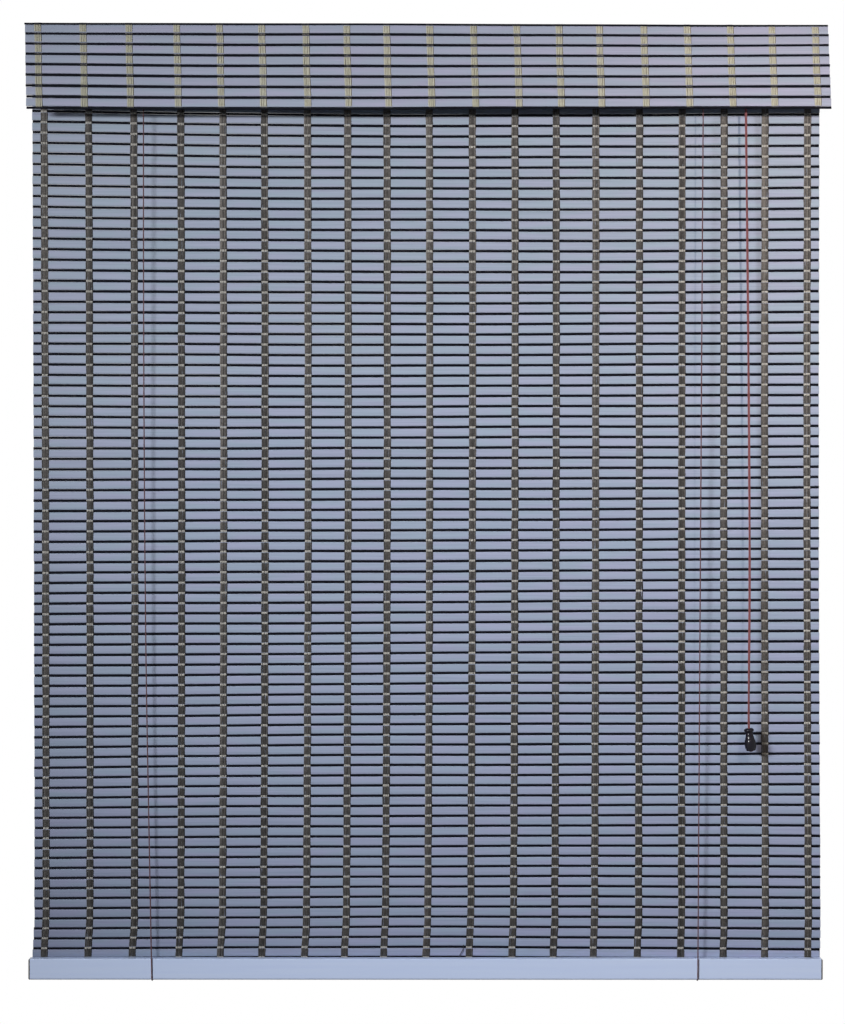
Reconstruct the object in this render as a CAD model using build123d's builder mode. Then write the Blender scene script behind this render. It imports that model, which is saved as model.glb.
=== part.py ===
from build123d import *
import os
from math import ceil, cos, radians, sin, tan

# Roll-up blind of woven slats, in millimetres.
# +Z is up, the front faces -Y, +X is to the right seen from the front.
# The origin is the middle of the top face of the folded cloth, where the blind meets the ceiling.

os.makedirs("parts", exist_ok=True)

# Woven cloth: slats and thin sticks in turn, tied by columns of thread
cloth_width = 1000.0
slat_height = 10.0
slat_thickness = 1.8
slat_edge = 0.45
stick_height = 2.6
stick_edge = 0.5
weave_gap = 0.225
warp_width = 9.0
front_thread = 0.7
back_thread = 0.5
valance_rows = 8
top_rows = 3
screen_rows = 90
tail_rows = 2
valance_flare = 3.0

# Columns of thread across the cloth, as shares of its width from the left edge
warp_place_shares = (
    0.015, 0.072, 0.129, 0.188, 0.241, 0.294, 0.348, 0.399, 0.449, 0.503,
    0.557, 0.611, 0.664, 0.713, 0.769, 0.822, 0.876, 0.929, 0.982,
)

# Battens
headrail_height = 26.0
headrail_end_gap = 4.0
headrail_edge = 1.0
rail_height = 27.0
rail_thickness = 10.0
rail_overhang = 2.5
rail_top_round = 1.0
rail_foot_round = 3.0
rail_corner_round = 2.0
rail_lap = 1.9

# Ceiling screw holes
mount_spacing_share = 0.92
mount_hole_radius = 2.5
mount_head_radius = 5.0
mount_head_depth = 5.0

# Fixings
screw_head_radius = 2.4
screw_head_height = 1.6
screw_shank_radius = 1.3
screw_bite = 12.0
fixing_fit = 0.1

# Cords, and where they stand across the blind as shares of its width
lift_cord_radius = 0.75
pull_cord_radius = 1.5
left_cord_share = 0.143
right_cord_share = 0.847
pull_cord_share = 0.9
left_drift_share = 0.008
right_drift_share = -0.003
pull_drift_share = 0.006
cord_gap = 0.3
rear_cord_gap = 1.5
under_rail_radius = 4.2
tassel_drop_share = 0.694

# Sheaves, straps and cord lock
sheave_radius = 6.5
sheave_root_radius = 4.6
sheave_rim = 0.4
sheave_groove = 2.0
sheave_gap = 0.4
sheave_headroom = 0.8
axle_radius = 1.25
axle_fit = 0.05
axle_head_radius = 2.0
axle_head_height = 0.7
strap_thickness = 1.0
strap_length = 8.0
strap_side_gap = 0.3
strap_flange = 9.0
hardware_offset = -3.0
pinch_radius = 2.5
pinch_stub_radius = 1.2
pinch_stub_reach = 0.8
pinch_fit = 0.1
pinch_travel = 6.0
pinch_slope = 30.0
pinch_ridges = 14
lock_end_wall = 2.0
lock_floor_gap = 0.8
lock_exit_gap = 0.6
lock_tail = 2.0

# Screw eyes and knots
eye_wire_radius = 0.9
eye_ring_radius = 3.5
eye_bite = 12.0
eye_stand_off = 0.2
knot_radius = 1.9
knot_turns = 3

# Tassel
tassel_height = 28.0
tassel_belly_radius = 7.2
tassel_collar_radius = 6.2
tassel_neck_radius = 4.7
tassel_rim_radius = 5.6
tassel_collar_height = 4.4
tassel_collar_edge = 1.2
tassel_neck_depth = 7.0
tassel_waist_radius = 5.7
tassel_waist_depth = 12.5
tassel_belly_depth = 20.0
tassel_bore_gap = 0.3
tassel_recess_radius = 3.4
tassel_recess_depth = 6.5
tassel_tilt = 6.0
tassel_knot_radius = 2.7
tassel_knot_height = 8.2

# Derived places of the cloth
slat_pitch = slat_height + stick_height + 2 * weave_gap
stick_thickness = slat_thickness
half_slat = slat_thickness / 2
fold_half = top_rows * slat_pitch / 2
cloth_mid_z = -half_slat
headrail_top = cloth_mid_z - half_slat - front_thread
headrail_bottom = headrail_top - headrail_height
headrail_half_depth = fold_half - half_slat - front_thread
screen_front = fold_half - half_slat
screen_back = fold_half + half_slat
flare = radians(valance_flare)
fold_lean = (1 - sin(flare)) / cos(flare)
fold_stick = stick_thickness * fold_lean
warp_xs = [(share - 0.5) * cloth_width for share in warp_place_shares]
all_rows = screen_rows + tail_rows
first_slat_z = cloth_mid_z - slat_pitch / 2
eye_z = first_slat_z - slat_pitch
cloth_end_z = cloth_mid_z - all_rows * slat_pitch + stick_height / 2
rail_top = cloth_mid_z - screen_rows * slat_pitch - stick_height / 2 + rail_lap
rail_bottom = rail_top - rail_height
rail_back = screen_front - front_thread
rail_front = rail_back - rail_thickness
mount_x = mount_spacing_share * cloth_width / 2

# Derived places of the cords and their fittings
left_x = (left_cord_share - 0.5) * cloth_width
right_x = (right_cord_share - 0.5) * cloth_width
pull_x = (pull_cord_share - 0.5) * cloth_width
sheave_width = sheave_groove + 2 * sheave_rim
wrap_radius = sheave_root_radius + cord_gap + lift_cord_radius
plane_step = (sheave_width + sheave_gap) / 2
left_y = hardware_offset + plane_step
right_y = hardware_offset - plane_step
sheave_z = headrail_bottom - sheave_headroom - sheave_radius
top_cord_z = sheave_z + wrap_radius
left_sheave_x = left_x + wrap_radius
right_sheave_x = right_x + wrap_radius
guide_x = pull_x - wrap_radius
pair_width = 2 * sheave_width + sheave_gap
single_inside = sheave_width + 2 * strap_side_gap
pair_inside = pair_width + 2 * strap_side_gap
strap_drop = headrail_bottom - sheave_z + sheave_radius + strap_side_gap + strap_thickness
slope = radians(pinch_slope)
pinch_locked_x = pull_x + lift_cord_radius + cord_gap + pinch_radius
pinch_x = pinch_locked_x + pinch_travel * sin(slope)
pinch_z = sheave_z - pinch_travel * cos(slope)
lock_left = guide_x - sheave_radius - lock_end_wall
lock_right = pinch_x + pinch_radius + lock_end_wall
lock_mid_x = (lock_left + lock_right) / 2
lock_drop = headrail_bottom - pinch_z + pinch_radius + lock_floor_gap + strap_thickness
lock_bottom = headrail_bottom - lock_drop
pull_top_z = lock_bottom - lock_tail
eye_y = screen_back + back_thread + eye_stand_off + eye_ring_radius + eye_wire_radius
knot_top_z = eye_z - eye_ring_radius - eye_wire_radius - fixing_fit
rear_cord_y = screen_back + back_thread + rear_cord_gap
front_cord_y = rail_front - cord_gap - lift_cord_radius
loop_z = rail_bottom - cord_gap - lift_cord_radius
tilt = radians(tassel_tilt)
tassel_top_z = pull_top_z + tassel_drop_share * rail_bottom
tassel_x = pull_x + pull_drift_share * cloth_width
recess_depth = tassel_height - tassel_recess_depth
pair_flange_y = pair_inside / 2 + strap_thickness + strap_flange / 2
single_flange_y = single_inside / 2 + strap_thickness + strap_flange / 2
strap_screw_places = [
    (left_sheave_x, left_y - single_flange_y),
    (left_sheave_x, left_y + single_flange_y),
    (right_sheave_x, hardware_offset - pair_flange_y),
    (right_sheave_x, hardware_offset + pair_flange_y),
    (lock_mid_x, hardware_offset - pair_flange_y),
    (lock_mid_x, hardware_offset + pair_flange_y),
]


def save(piece, name):
    """Names one finished piece and writes its file."""
    piece.label = name
    export_step(piece, f"parts/{name}.step")


def down_valance(distance, outward):
    """A (Y, Z) place on the valance: so far down from the fold, so far out of its middle plane."""
    y = -fold_half - distance * sin(flare) - outward * cos(flare)
    z = cloth_mid_z - distance * cos(flare) + outward * sin(flare)
    return (y, z)


def fold_corner(outward):
    """The (Y, Z) corner where the top and the valance meet, so far out of both middle planes."""
    return (-fold_half - outward * fold_lean, cloth_mid_z + outward)


# Headrail, with ceiling holes counterbored from below and pilot holes for every fixing
with BuildPart() as headrail:
    with BuildSketch(Plane.YZ) as section:
        with Locations((0, (headrail_top + headrail_bottom) / 2)):
            Rectangle(2 * headrail_half_depth, headrail_height)
        chamfer(section.vertices(), length=headrail_edge)
    extrude(amount=cloth_width / 2 - headrail_end_gap, both=True)
    with BuildSketch(Plane.XY.offset(headrail_bottom)):
        with Locations(strap_screw_places):
            Circle(screw_shank_radius + fixing_fit)
    extrude(amount=screw_bite + fixing_fit, mode=Mode.SUBTRACT)
    with BuildSketch(Plane.XY.offset(headrail_bottom)):
        with Locations((-mount_x, 0), (mount_x, 0)):
            Circle(mount_head_radius)
    extrude(amount=mount_head_depth, mode=Mode.SUBTRACT)
    with BuildSketch(Plane.XY.offset(headrail_bottom)):
        with Locations((-mount_x, 0), (mount_x, 0)):
            Circle(mount_hole_radius)
    extrude(amount=headrail_height, mode=Mode.SUBTRACT)
    with BuildSketch(Plane.XZ.offset(-headrail_half_depth)):
        with Locations((left_x, eye_z), (right_x, eye_z)):
            Circle(eye_wire_radius + fixing_fit)
    extrude(amount=eye_bite + fixing_fit, mode=Mode.SUBTRACT)
save(headrail.part, "headrail")

# Slats over the top and down the valance, the middle top one drilled for the ceiling screws
with BuildPart() as valance_slats:
    with BuildSketch(Plane.YZ) as section:
        for row in range(top_rows):
            with Locations((-fold_half + (row + 1 / 2) * slat_pitch, cloth_mid_z)):
                Rectangle(slat_height, slat_thickness)
        for row in range(valance_rows):
            y, z = down_valance((row + 1 / 2) * slat_pitch, 0)
            with Locations(Location((y, z, 0), (0, 0, -valance_flare))):
                Rectangle(slat_thickness, slat_height)
        chamfer(section.vertices(), length=slat_edge)
    extrude(amount=cloth_width / 2, both=True)
    with BuildSketch(Plane.XY):
        with Locations((-mount_x, 0), (mount_x, 0)):
            Circle(mount_hole_radius)
    extrude(amount=-slat_thickness, mode=Mode.SUBTRACT)
save(valance_slats.part, "valance_slats")

# Sticks over the top and down the valance, the one in the fold square
with BuildPart() as valance_sticks:
    with BuildSketch(Plane.YZ) as section:
        with Locations((-fold_half, cloth_mid_z)):
            Rectangle(fold_stick, fold_stick)
        for row in range(1, top_rows):
            with Locations((-fold_half + row * slat_pitch, cloth_mid_z)):
                Rectangle(stick_height, stick_thickness)
        for row in range(1, valance_rows + 1):
            y, z = down_valance(row * slat_pitch, 0)
            with Locations(Location((y, z, 0), (0, 0, -valance_flare))):
                Rectangle(stick_thickness, stick_height)
        chamfer(section.vertices(), length=stick_edge)
    extrude(amount=cloth_width / 2, both=True)
save(valance_sticks.part, "valance_sticks")


def fold_band(low, high, rear_end):
    """Columns of thread round the fold, between two distances out of the cloth's middle plane."""
    foot = valance_rows * slat_pitch + stick_height / 2
    with BuildPart() as bands:
        for x in warp_xs:
            with BuildSketch(Plane.YZ.offset(x)):
                with BuildLine():
                    Polyline(
                        down_valance(foot, low),
                        fold_corner(low),
                        (rear_end, cloth_mid_z + low),
                        (rear_end, cloth_mid_z + high),
                        fold_corner(high),
                        down_valance(foot, high),
                        close=True,
                    )
                make_face()
            extrude(amount=warp_width / 2, both=True)
    return bands.part


# Dark threads inside the fold and cream threads outside it
valance_inner_threads = fold_band(-half_slat - front_thread, -half_slat, headrail_half_depth)
save(valance_inner_threads, "valance_inner_threads")
valance_outer_threads = fold_band(half_slat, half_slat + back_thread, screen_back)
save(valance_outer_threads, "valance_outer_threads")

# Slats of the hanging screen, drilled where the screw eyes pass
with BuildPart() as screen_slats:
    with BuildSketch(Plane.YZ) as section:
        for row in range(all_rows):
            with Locations((fold_half, cloth_mid_z - (row + 1 / 2) * slat_pitch)):
                Rectangle(slat_thickness, slat_height)
        chamfer(section.vertices(), length=slat_edge)
    extrude(amount=cloth_width / 2, both=True)
    with BuildSketch(Plane.XZ.offset(-screen_back)):
        with Locations((left_x, eye_z), (right_x, eye_z)):
            Circle(eye_wire_radius + fixing_fit)
    extrude(amount=slat_thickness, mode=Mode.SUBTRACT)
save(screen_slats.part, "screen_slats")

# Sticks of the hanging screen, the one in the fold square
with BuildPart() as screen_sticks:
    with BuildSketch(Plane.YZ) as section:
        with Locations((fold_half, cloth_mid_z)):
            Rectangle(stick_thickness, stick_thickness)
        for row in range(1, all_rows):
            with Locations((fold_half, cloth_mid_z - row * slat_pitch)):
                Rectangle(stick_thickness, stick_height)
        chamfer(section.vertices(), length=stick_edge)
    extrude(amount=cloth_width / 2, both=True)
save(screen_sticks.part, "screen_sticks")


def screen_band(near, thickness, top):
    """Columns of thread down one face of the screen."""
    with BuildPart() as bands:
        with BuildSketch(Plane.XZ.offset(-near)):
            with Locations([(x, (top + cloth_end_z) / 2) for x in warp_xs]):
                Rectangle(warp_width, top - cloth_end_z)
        extrude(amount=-thickness)
    return bands.part


# Dark threads on the front and cream threads on the back of the screen
screen_front_threads = screen_band(rail_back, front_thread, cloth_mid_z - half_slat)
save(screen_front_threads, "screen_front_threads")
screen_back_threads = screen_band(screen_back, back_thread, cloth_mid_z + half_slat + back_thread)
save(screen_back_threads, "screen_back_threads")

# Bottom rail, rounded along its foot and top edges and at its corners
with BuildPart() as bottom_rail:
    with BuildSketch(Plane.YZ) as section:
        with Locations(((rail_front + rail_back) / 2, (rail_top + rail_bottom) / 2)):
            Rectangle(rail_thickness, rail_height)
        fillet(section.vertices().group_by(Axis.Y)[0], radius=rail_foot_round)
        fillet(section.vertices().group_by(Axis.Y)[-1], radius=rail_top_round)
    extrude(amount=cloth_width / 2 + rail_overhang, both=True)
    with BuildSketch(Plane.XZ.offset(-rail_back)):
        with Locations((0, (rail_top + rail_bottom) / 2)):
            RectangleRounded(cloth_width + 2 * rail_overhang, rail_height, rail_corner_round)
    extrude(amount=rail_thickness, mode=Mode.INTERSECT)
save(bottom_rail.part, "bottom_rail")


def hat_strap(mid_x, mid_y, inside, length, drop):
    """A steel strip bent into a trough with two flanges that screw to the headrail."""
    flange_y = inside / 2 + strap_thickness + strap_flange / 2
    full_width = inside + 2 * strap_thickness + 2 * strap_flange
    with BuildPart() as strap:
        with BuildSketch(Plane.YZ.offset(mid_x)):
            with Locations((mid_y, headrail_bottom - strap_thickness / 2)):
                Rectangle(full_width, strap_thickness)
            with Locations((mid_y, headrail_bottom - drop / 2)):
                Rectangle(inside + 2 * strap_thickness, drop)
            with Locations((mid_y, headrail_bottom - (drop - strap_thickness) / 2)):
                Rectangle(inside, drop - strap_thickness, mode=Mode.SUBTRACT)
        extrude(amount=length / 2, both=True)
        floor_edges = strap.edges().filter_by(Axis.X).group_by(Axis.Z)[0]
        fillet(floor_edges, radius=strap_thickness)
        with BuildSketch(Plane.XY.offset(headrail_bottom)):
            with Locations((mid_x, mid_y - flange_y), (mid_x, mid_y + flange_y)):
                Circle(screw_shank_radius + fixing_fit)
        extrude(amount=-strap_thickness, mode=Mode.SUBTRACT)
    return strap.part


def pulley_strap(mid_x, mid_y, inside):
    """A strap with one axle hole through both cheeks."""
    with BuildPart() as strap:
        add(hat_strap(mid_x, mid_y, inside, strap_length, strap_drop))
        with BuildSketch(Plane.XZ.offset(-mid_y)):
            with Locations((mid_x, sheave_z)):
                Circle(axle_radius + axle_fit)
        extrude(amount=inside, both=True, mode=Mode.SUBTRACT)
    return strap.part


def axle(mid_x, mid_y, inside):
    """A pin through both cheeks, riveted over at its ends."""
    half = inside / 2 + strap_thickness
    with BuildPart() as pin:
        with BuildSketch(Plane.XZ.offset(-mid_y)):
            with Locations((mid_x, sheave_z)):
                Circle(axle_radius)
        extrude(amount=half, both=True)
        with BuildSketch(Plane.XZ.offset(-mid_y - half)):
            with Locations((mid_x, sheave_z)):
                Circle(axle_head_radius)
        extrude(amount=-axle_head_height)
        with BuildSketch(Plane.XZ.offset(-mid_y + half)):
            with Locations((mid_x, sheave_z)):
                Circle(axle_head_radius)
        extrude(amount=axle_head_height)
    return pin.part


def sheave(mid_x, mid_y, width):
    """A grooved wheel that runs on an axle along Y."""
    root_in = width / 2 - sheave_rim
    hub = Plane(origin=(mid_x, mid_y, sheave_z), x_dir=(0, 1, 0), z_dir=(1, 0, 0))
    with BuildPart() as wheel:
        with BuildSketch(hub):
            with BuildLine():
                Polyline(
                    (-width / 2, axle_radius + axle_fit),
                    (-width / 2, sheave_radius),
                    (-root_in, sheave_root_radius),
                    (root_in, sheave_root_radius),
                    (width / 2, sheave_radius),
                    (width / 2, axle_radius + axle_fit),
                    close=True,
                )
            make_face()
        revolve(axis=Axis((mid_x, mid_y, sheave_z), (0, 1, 0)))
    return wheel.part


# Left pulley with one sheave
save(pulley_strap(left_sheave_x, left_y, single_inside), "left_pulley_strap")
save(axle(left_sheave_x, left_y, single_inside), "left_pulley_axle")
save(sheave(left_sheave_x, left_y, sheave_width), "left_pulley_sheave")

# Right pulley with two sheaves, one turned by its own cord and one passed by the left cord
save(pulley_strap(right_sheave_x, hardware_offset, pair_inside), "right_pulley_strap")
save(axle(right_sheave_x, hardware_offset, pair_inside), "right_pulley_axle")
save(sheave(right_sheave_x, right_y, sheave_width), "right_lift_sheave")
save(sheave(right_sheave_x, left_y, sheave_width), "right_passing_sheave")

# Wood screws through the flanges
with BuildPart() as hardware_screws:
    with BuildSketch(Plane.XY.offset(headrail_bottom - strap_thickness)):
        with Locations(strap_screw_places):
            Circle(screw_head_radius)
    extrude(amount=-screw_head_height)
    with BuildSketch(Plane.XY.offset(headrail_bottom - strap_thickness)):
        with Locations(strap_screw_places):
            Circle(screw_shank_radius)
    extrude(amount=strap_thickness + screw_bite)
save(hardware_screws.part, "hardware_screws")

# Cord lock: a trough with a guide axle, a sloping slot in each cheek and a way out for the cords
slot_place = Location(
    ((pinch_x + pinch_locked_x) / 2, (pinch_z + sheave_z) / 2, 0), (0, 0, 90 + pinch_slope)
)
with BuildPart() as lock_housing:
    add(hat_strap(lock_mid_x, hardware_offset, pair_inside, lock_right - lock_left, lock_drop))
    with BuildSketch(Plane.XZ.offset(-hardware_offset)):
        with Locations((guide_x, sheave_z)):
            Circle(axle_radius + axle_fit)
        with Locations(slot_place):
            SlotCenterToCenter(pinch_travel, 2 * (pinch_stub_radius + pinch_fit))
    extrude(amount=pair_inside, both=True, mode=Mode.SUBTRACT)
    with BuildSketch(Plane.XY.offset(lock_bottom)):
        with Locations(Location((pull_x, hardware_offset, 0), (0, 0, 90))):
            SlotCenterToCenter(2 * plane_step, 2 * (lift_cord_radius + lock_exit_gap))
    extrude(amount=strap_thickness, mode=Mode.SUBTRACT)
save(lock_housing.part, "lock_housing")
save(axle(guide_x, hardware_offset, pair_inside), "lock_guide_axle")
save(sheave(guide_x, hardware_offset, pair_width), "lock_guide_roller")

# Ridged pinch roller, resting at the low end of its slots
stub_half = pair_inside / 2 + strap_thickness + pinch_stub_reach
with BuildPart() as pinch_roller:
    with BuildSketch(Plane.XZ.offset(-hardware_offset)):
        with Locations((pinch_x, pinch_z)):
            RegularPolygon(pinch_radius, pinch_ridges)
    extrude(amount=pair_width / 2, both=True)
    with BuildSketch(Plane.XZ.offset(-hardware_offset)):
        with Locations((pinch_x, pinch_z)):
            Circle(pinch_stub_radius)
    extrude(amount=stub_half, both=True)
save(pinch_roller.part, "lock_pinch_roller")


def screw_eye(x):
    """A stout ring on a shank, screwed into the back of the headrail through the cloth."""
    shank_end = headrail_half_depth - eye_bite
    ring_near = eye_y - eye_ring_radius
    with BuildPart() as eye:
        with BuildSketch(Plane.XZ.offset(-shank_end)):
            with Locations((x, eye_z)):
                Circle(eye_wire_radius)
        extrude(amount=-(ring_near - shank_end))
        with BuildSketch(Plane.YZ.offset(x)):
            with Locations((eye_y, eye_z)):
                Circle(eye_ring_radius + eye_wire_radius)
                Circle(eye_ring_radius - eye_wire_radius, mode=Mode.SUBTRACT)
        extrude(amount=eye_wire_radius, both=True)
    return eye.part


def knot(foot, direction, radius, height, turns):
    """A wound knot: a short barrel with one ridge to each turn of cord, and more turns if it is long."""
    turns = max(turns, ceil(height / (2 * radius)))
    rise = height / turns
    lean = Plane(origin=foot, x_dir=(0, 1, 0), z_dir=direction)
    with BuildPart() as tied:
        with BuildSketch(Plane(origin=foot, x_dir=lean.x_dir, z_dir=lean.x_dir.cross(lean.z_dir))):
            with BuildLine():
                Line((0, 0), (radius - rise / 2, 0))
                for turn in range(turns):
                    low = (radius - rise / 2, turn * rise)
                    high = (radius - rise / 2, (turn + 1) * rise)
                    Polyline(low, (radius, (turn + 1 / 2) * rise), high)
                Line((radius - rise / 2, height), (0, height))
                Line((0, height), (0, 0))
            make_face()
        revolve(axis=Axis(foot, direction))
    return tied.part


# Screw eyes at the back of the headrail, and the knots that tie the cords to them
knot_height = knot_top_z - sheave_z
save(screw_eye(left_x), "left_screw_eye")
save(screw_eye(right_x), "right_screw_eye")
left_knot_foot = (left_x, eye_y, sheave_z)
right_knot_foot = (right_x, eye_y, sheave_z)
save(knot(left_knot_foot, (0, 0, 1), knot_radius, knot_height, knot_turns), "left_cord_knot")
save(knot(right_knot_foot, (0, 0, 1), knot_radius, knot_height, knot_turns), "right_cord_knot")


def tube(points, radii, radius):
    """A cord: a round section swept along straight runs joined by tangent arcs."""
    with BuildPart() as cord:
        with BuildLine() as run:
            FilletPolyline(*points, radius=radii)
        path = run.wires()[0]
        with BuildSketch(Plane(origin=path @ 0, z_dir=path % 0)):
            Circle(radius)
        sweep(path=path)
    print("cord radii", [round(value, 2) for value in radii], "length", round(path.length, 1))
    return cord.part


def lift_cord(x, y, drift):
    """One lift cord, from its knot down the back, under the rail and up the front to its sheave."""
    points = [
        (x, eye_y, sheave_z),
        (x + drift, rear_cord_y, loop_z),
        (x + drift, front_cord_y, loop_z),
        (x, y, sheave_z),
    ]
    return tube(points, [under_rail_radius, under_rail_radius], lift_cord_radius)


def top_cord(x, y):
    """One cord along the headrail, over its sheave and over the guide roller into the lock."""
    points = [
        (x, y, sheave_z),
        (x, y, top_cord_z),
        (pull_x, y, top_cord_z),
        (pull_x, y, pull_top_z),
    ]
    turn = wrap_radius - fixing_fit / 100
    return tube(points, [turn, turn], lift_cord_radius)


# Lift cords, top cords and the pull cord
save(lift_cord(left_x, left_y, left_drift_share * cloth_width), "left_lift_cord")
save(lift_cord(right_x, right_y, right_drift_share * cloth_width), "right_lift_cord")
save(top_cord(left_x, left_y), "left_top_cord")
save(top_cord(right_x, right_y), "right_top_cord")

tassel_top = (tassel_x, hardware_offset, tassel_top_z)
tassel_axis = (-sin(tilt), 0, cos(tilt))
recess_top = (
    tassel_x + recess_depth * sin(tilt),
    hardware_offset,
    tassel_top_z - recess_depth * cos(tilt),
)
pull_lean = (tassel_x - pull_x) / (pull_top_z - tassel_top_z)
pull_turn_radius = 0.45 * recess_depth / tan((tilt - pull_lean) / 2)
pull_top = (pull_x, hardware_offset, pull_top_z)
save(tube([pull_top, tassel_top, recess_top], [pull_turn_radius], pull_cord_radius), "pull_cord")

# Tassel: a turned bell with a collar, bored for the cord and recessed for its knot
bore_radius = pull_cord_radius + tassel_bore_gap
tassel_plane = Plane(origin=tassel_top, x_dir=(cos(tilt), 0, sin(tilt)), z_dir=(0, -1, 0))
with BuildPart() as tassel:
    with BuildSketch(tassel_plane):
        with BuildLine():
            Polyline(
                (bore_radius, 0),
                (tassel_neck_radius, 0),
                (tassel_collar_radius, -tassel_collar_edge),
                (tassel_collar_radius, tassel_collar_edge - tassel_collar_height),
                (tassel_neck_radius, -tassel_collar_height),
                (tassel_neck_radius, -tassel_neck_depth),
                (tassel_waist_radius, -tassel_waist_depth),
            )
            ThreePointArc(
                (tassel_waist_radius, -tassel_waist_depth),
                (tassel_belly_radius, -tassel_belly_depth),
                (tassel_rim_radius, -tassel_height),
            )
            Polyline(
                (tassel_rim_radius, -tassel_height),
                (tassel_recess_radius, -tassel_height),
                (tassel_recess_radius, -recess_depth),
                (bore_radius, -recess_depth),
                (bore_radius, 0),
            )
        make_face()
    revolve(axis=Axis(tassel_top, tassel_axis))
save(tassel.part, "tassel")

# Stop knot, drawn up against the roof of the recess
knot_foot = (
    recess_top[0] + tassel_knot_height * sin(tilt),
    hardware_offset,
    recess_top[2] - tassel_knot_height * cos(tilt),
)
save(knot(knot_foot, tassel_axis, tassel_knot_radius, tassel_knot_height, 2), "tassel_knot")
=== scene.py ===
"""Looks of a roll-up blind woven from painted slats and dark sticks.

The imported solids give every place. Lengths are in metres, and MM turns millimetres into them.
The cloth is one weave: slats and sticks lie across, and columns of yarn run over and under them.
"""

import logging
import math
from dataclasses import dataclass, field
from enum import Enum

import bpy
import numpy as np
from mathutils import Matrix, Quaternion, Vector


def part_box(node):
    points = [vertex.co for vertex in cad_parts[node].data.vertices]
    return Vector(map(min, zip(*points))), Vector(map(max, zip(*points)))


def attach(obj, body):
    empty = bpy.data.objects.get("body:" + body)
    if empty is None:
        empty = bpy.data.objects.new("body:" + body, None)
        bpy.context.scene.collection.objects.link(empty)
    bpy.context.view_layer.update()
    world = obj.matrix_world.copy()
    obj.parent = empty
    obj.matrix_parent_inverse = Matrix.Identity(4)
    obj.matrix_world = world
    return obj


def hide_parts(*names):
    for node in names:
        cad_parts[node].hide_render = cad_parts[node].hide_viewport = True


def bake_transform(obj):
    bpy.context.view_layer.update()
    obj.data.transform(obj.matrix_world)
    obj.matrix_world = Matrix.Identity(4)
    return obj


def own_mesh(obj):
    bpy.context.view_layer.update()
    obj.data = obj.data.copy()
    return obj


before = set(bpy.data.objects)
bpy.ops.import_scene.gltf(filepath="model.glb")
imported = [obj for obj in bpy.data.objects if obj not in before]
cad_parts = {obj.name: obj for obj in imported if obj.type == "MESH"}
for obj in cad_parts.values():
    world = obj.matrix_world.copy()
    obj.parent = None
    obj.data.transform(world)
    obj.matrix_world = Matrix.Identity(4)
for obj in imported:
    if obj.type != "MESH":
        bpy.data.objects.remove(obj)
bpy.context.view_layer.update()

log = logging.getLogger("blind")

MM = 0.001
# Edges that bend by more than this stay crisp after drilling
CRISP_EDGE = math.radians(70.0)

Array = np.ndarray
Point = tuple[float, float, float]
Route = tuple[Point, ...]
Stops = tuple[tuple[float, str], ...]
Terms = tuple[tuple[float, ...], ...]


class Body(str, Enum):
    """Bodies that pieces ride on."""

    FIXED = "headrail"
    RAIL = "bottom_rail"
    TASSEL = "tassel"


class Slot(str, Enum):
    """Material slots of the record."""

    SLAT = "slat_paint"
    STICK = "stick_black"
    DARK = "dark_thread"
    CREAM = "cream_thread"
    CORD = "cord_maroon"
    TASSEL = "tassel_lacquer"
    STEEL = "zinc_steel"


def linear(hex_colour: str) -> tuple[float, float, float, float]:
    """Turns an sRGB hex colour into linear red, green, blue and alpha.

    Args:
        hex_colour: six hex digits.

    Returns:
        The linear colour with an alpha of 1.
    """
    channels = [int(hex_colour[i : i + 2], 16) / 255 for i in (0, 2, 4)]
    low = [value / 12.92 for value in channels]
    high = [((value + 0.055) / 1.055) ** 2.4 for value in channels]
    chosen = [a if value <= 0.04045 else b for value, a, b in zip(channels, low, high)]
    return (chosen[0], chosen[1], chosen[2], 1.0)


def add_node(
    tree: bpy.types.NodeTree,
    kind: str,
    values: dict | None = None,
    links: dict | None = None,
    **settings: object,
) -> bpy.types.Node:
    """Adds one node with its settings, socket values and incoming links.

    Args:
        tree: the node tree it goes into.
        kind: the node's type name.
        values: socket name or number to constant.
        links: socket name or number to the output socket that feeds it.
        settings: properties of the node itself.

    Returns:
        The new node.
    """
    node = tree.nodes.new(kind)
    for name, setting in settings.items():
        setattr(node, name, setting)
    for name, value in (values or {}).items():
        node.inputs[name].default_value = value
    for name, socket in (links or {}).items():
        tree.links.new(socket, node.inputs[name])
    return node


def set_ramp(node: bpy.types.Node, stops: Stops) -> None:
    """Gives a colour ramp its stops, each a place from 0 to 1 and a hex colour."""
    ramp = node.color_ramp
    while len(ramp.elements) < len(stops):
        ramp.elements.new(1.0)
    for element, (place, colour) in zip(ramp.elements, stops):
        element.position = place
        element.color = linear(colour)


def per_metre(size_mm: float) -> float:
    """Pattern scale at which one repeat is that many millimetres."""
    return 1.0 / (size_mm * MM)


def in_metres(route: Route) -> list[Point]:
    """Turns a route's points from millimetres into metres."""
    return [(x * MM, y * MM, z * MM) for x, y, z in route]


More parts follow.
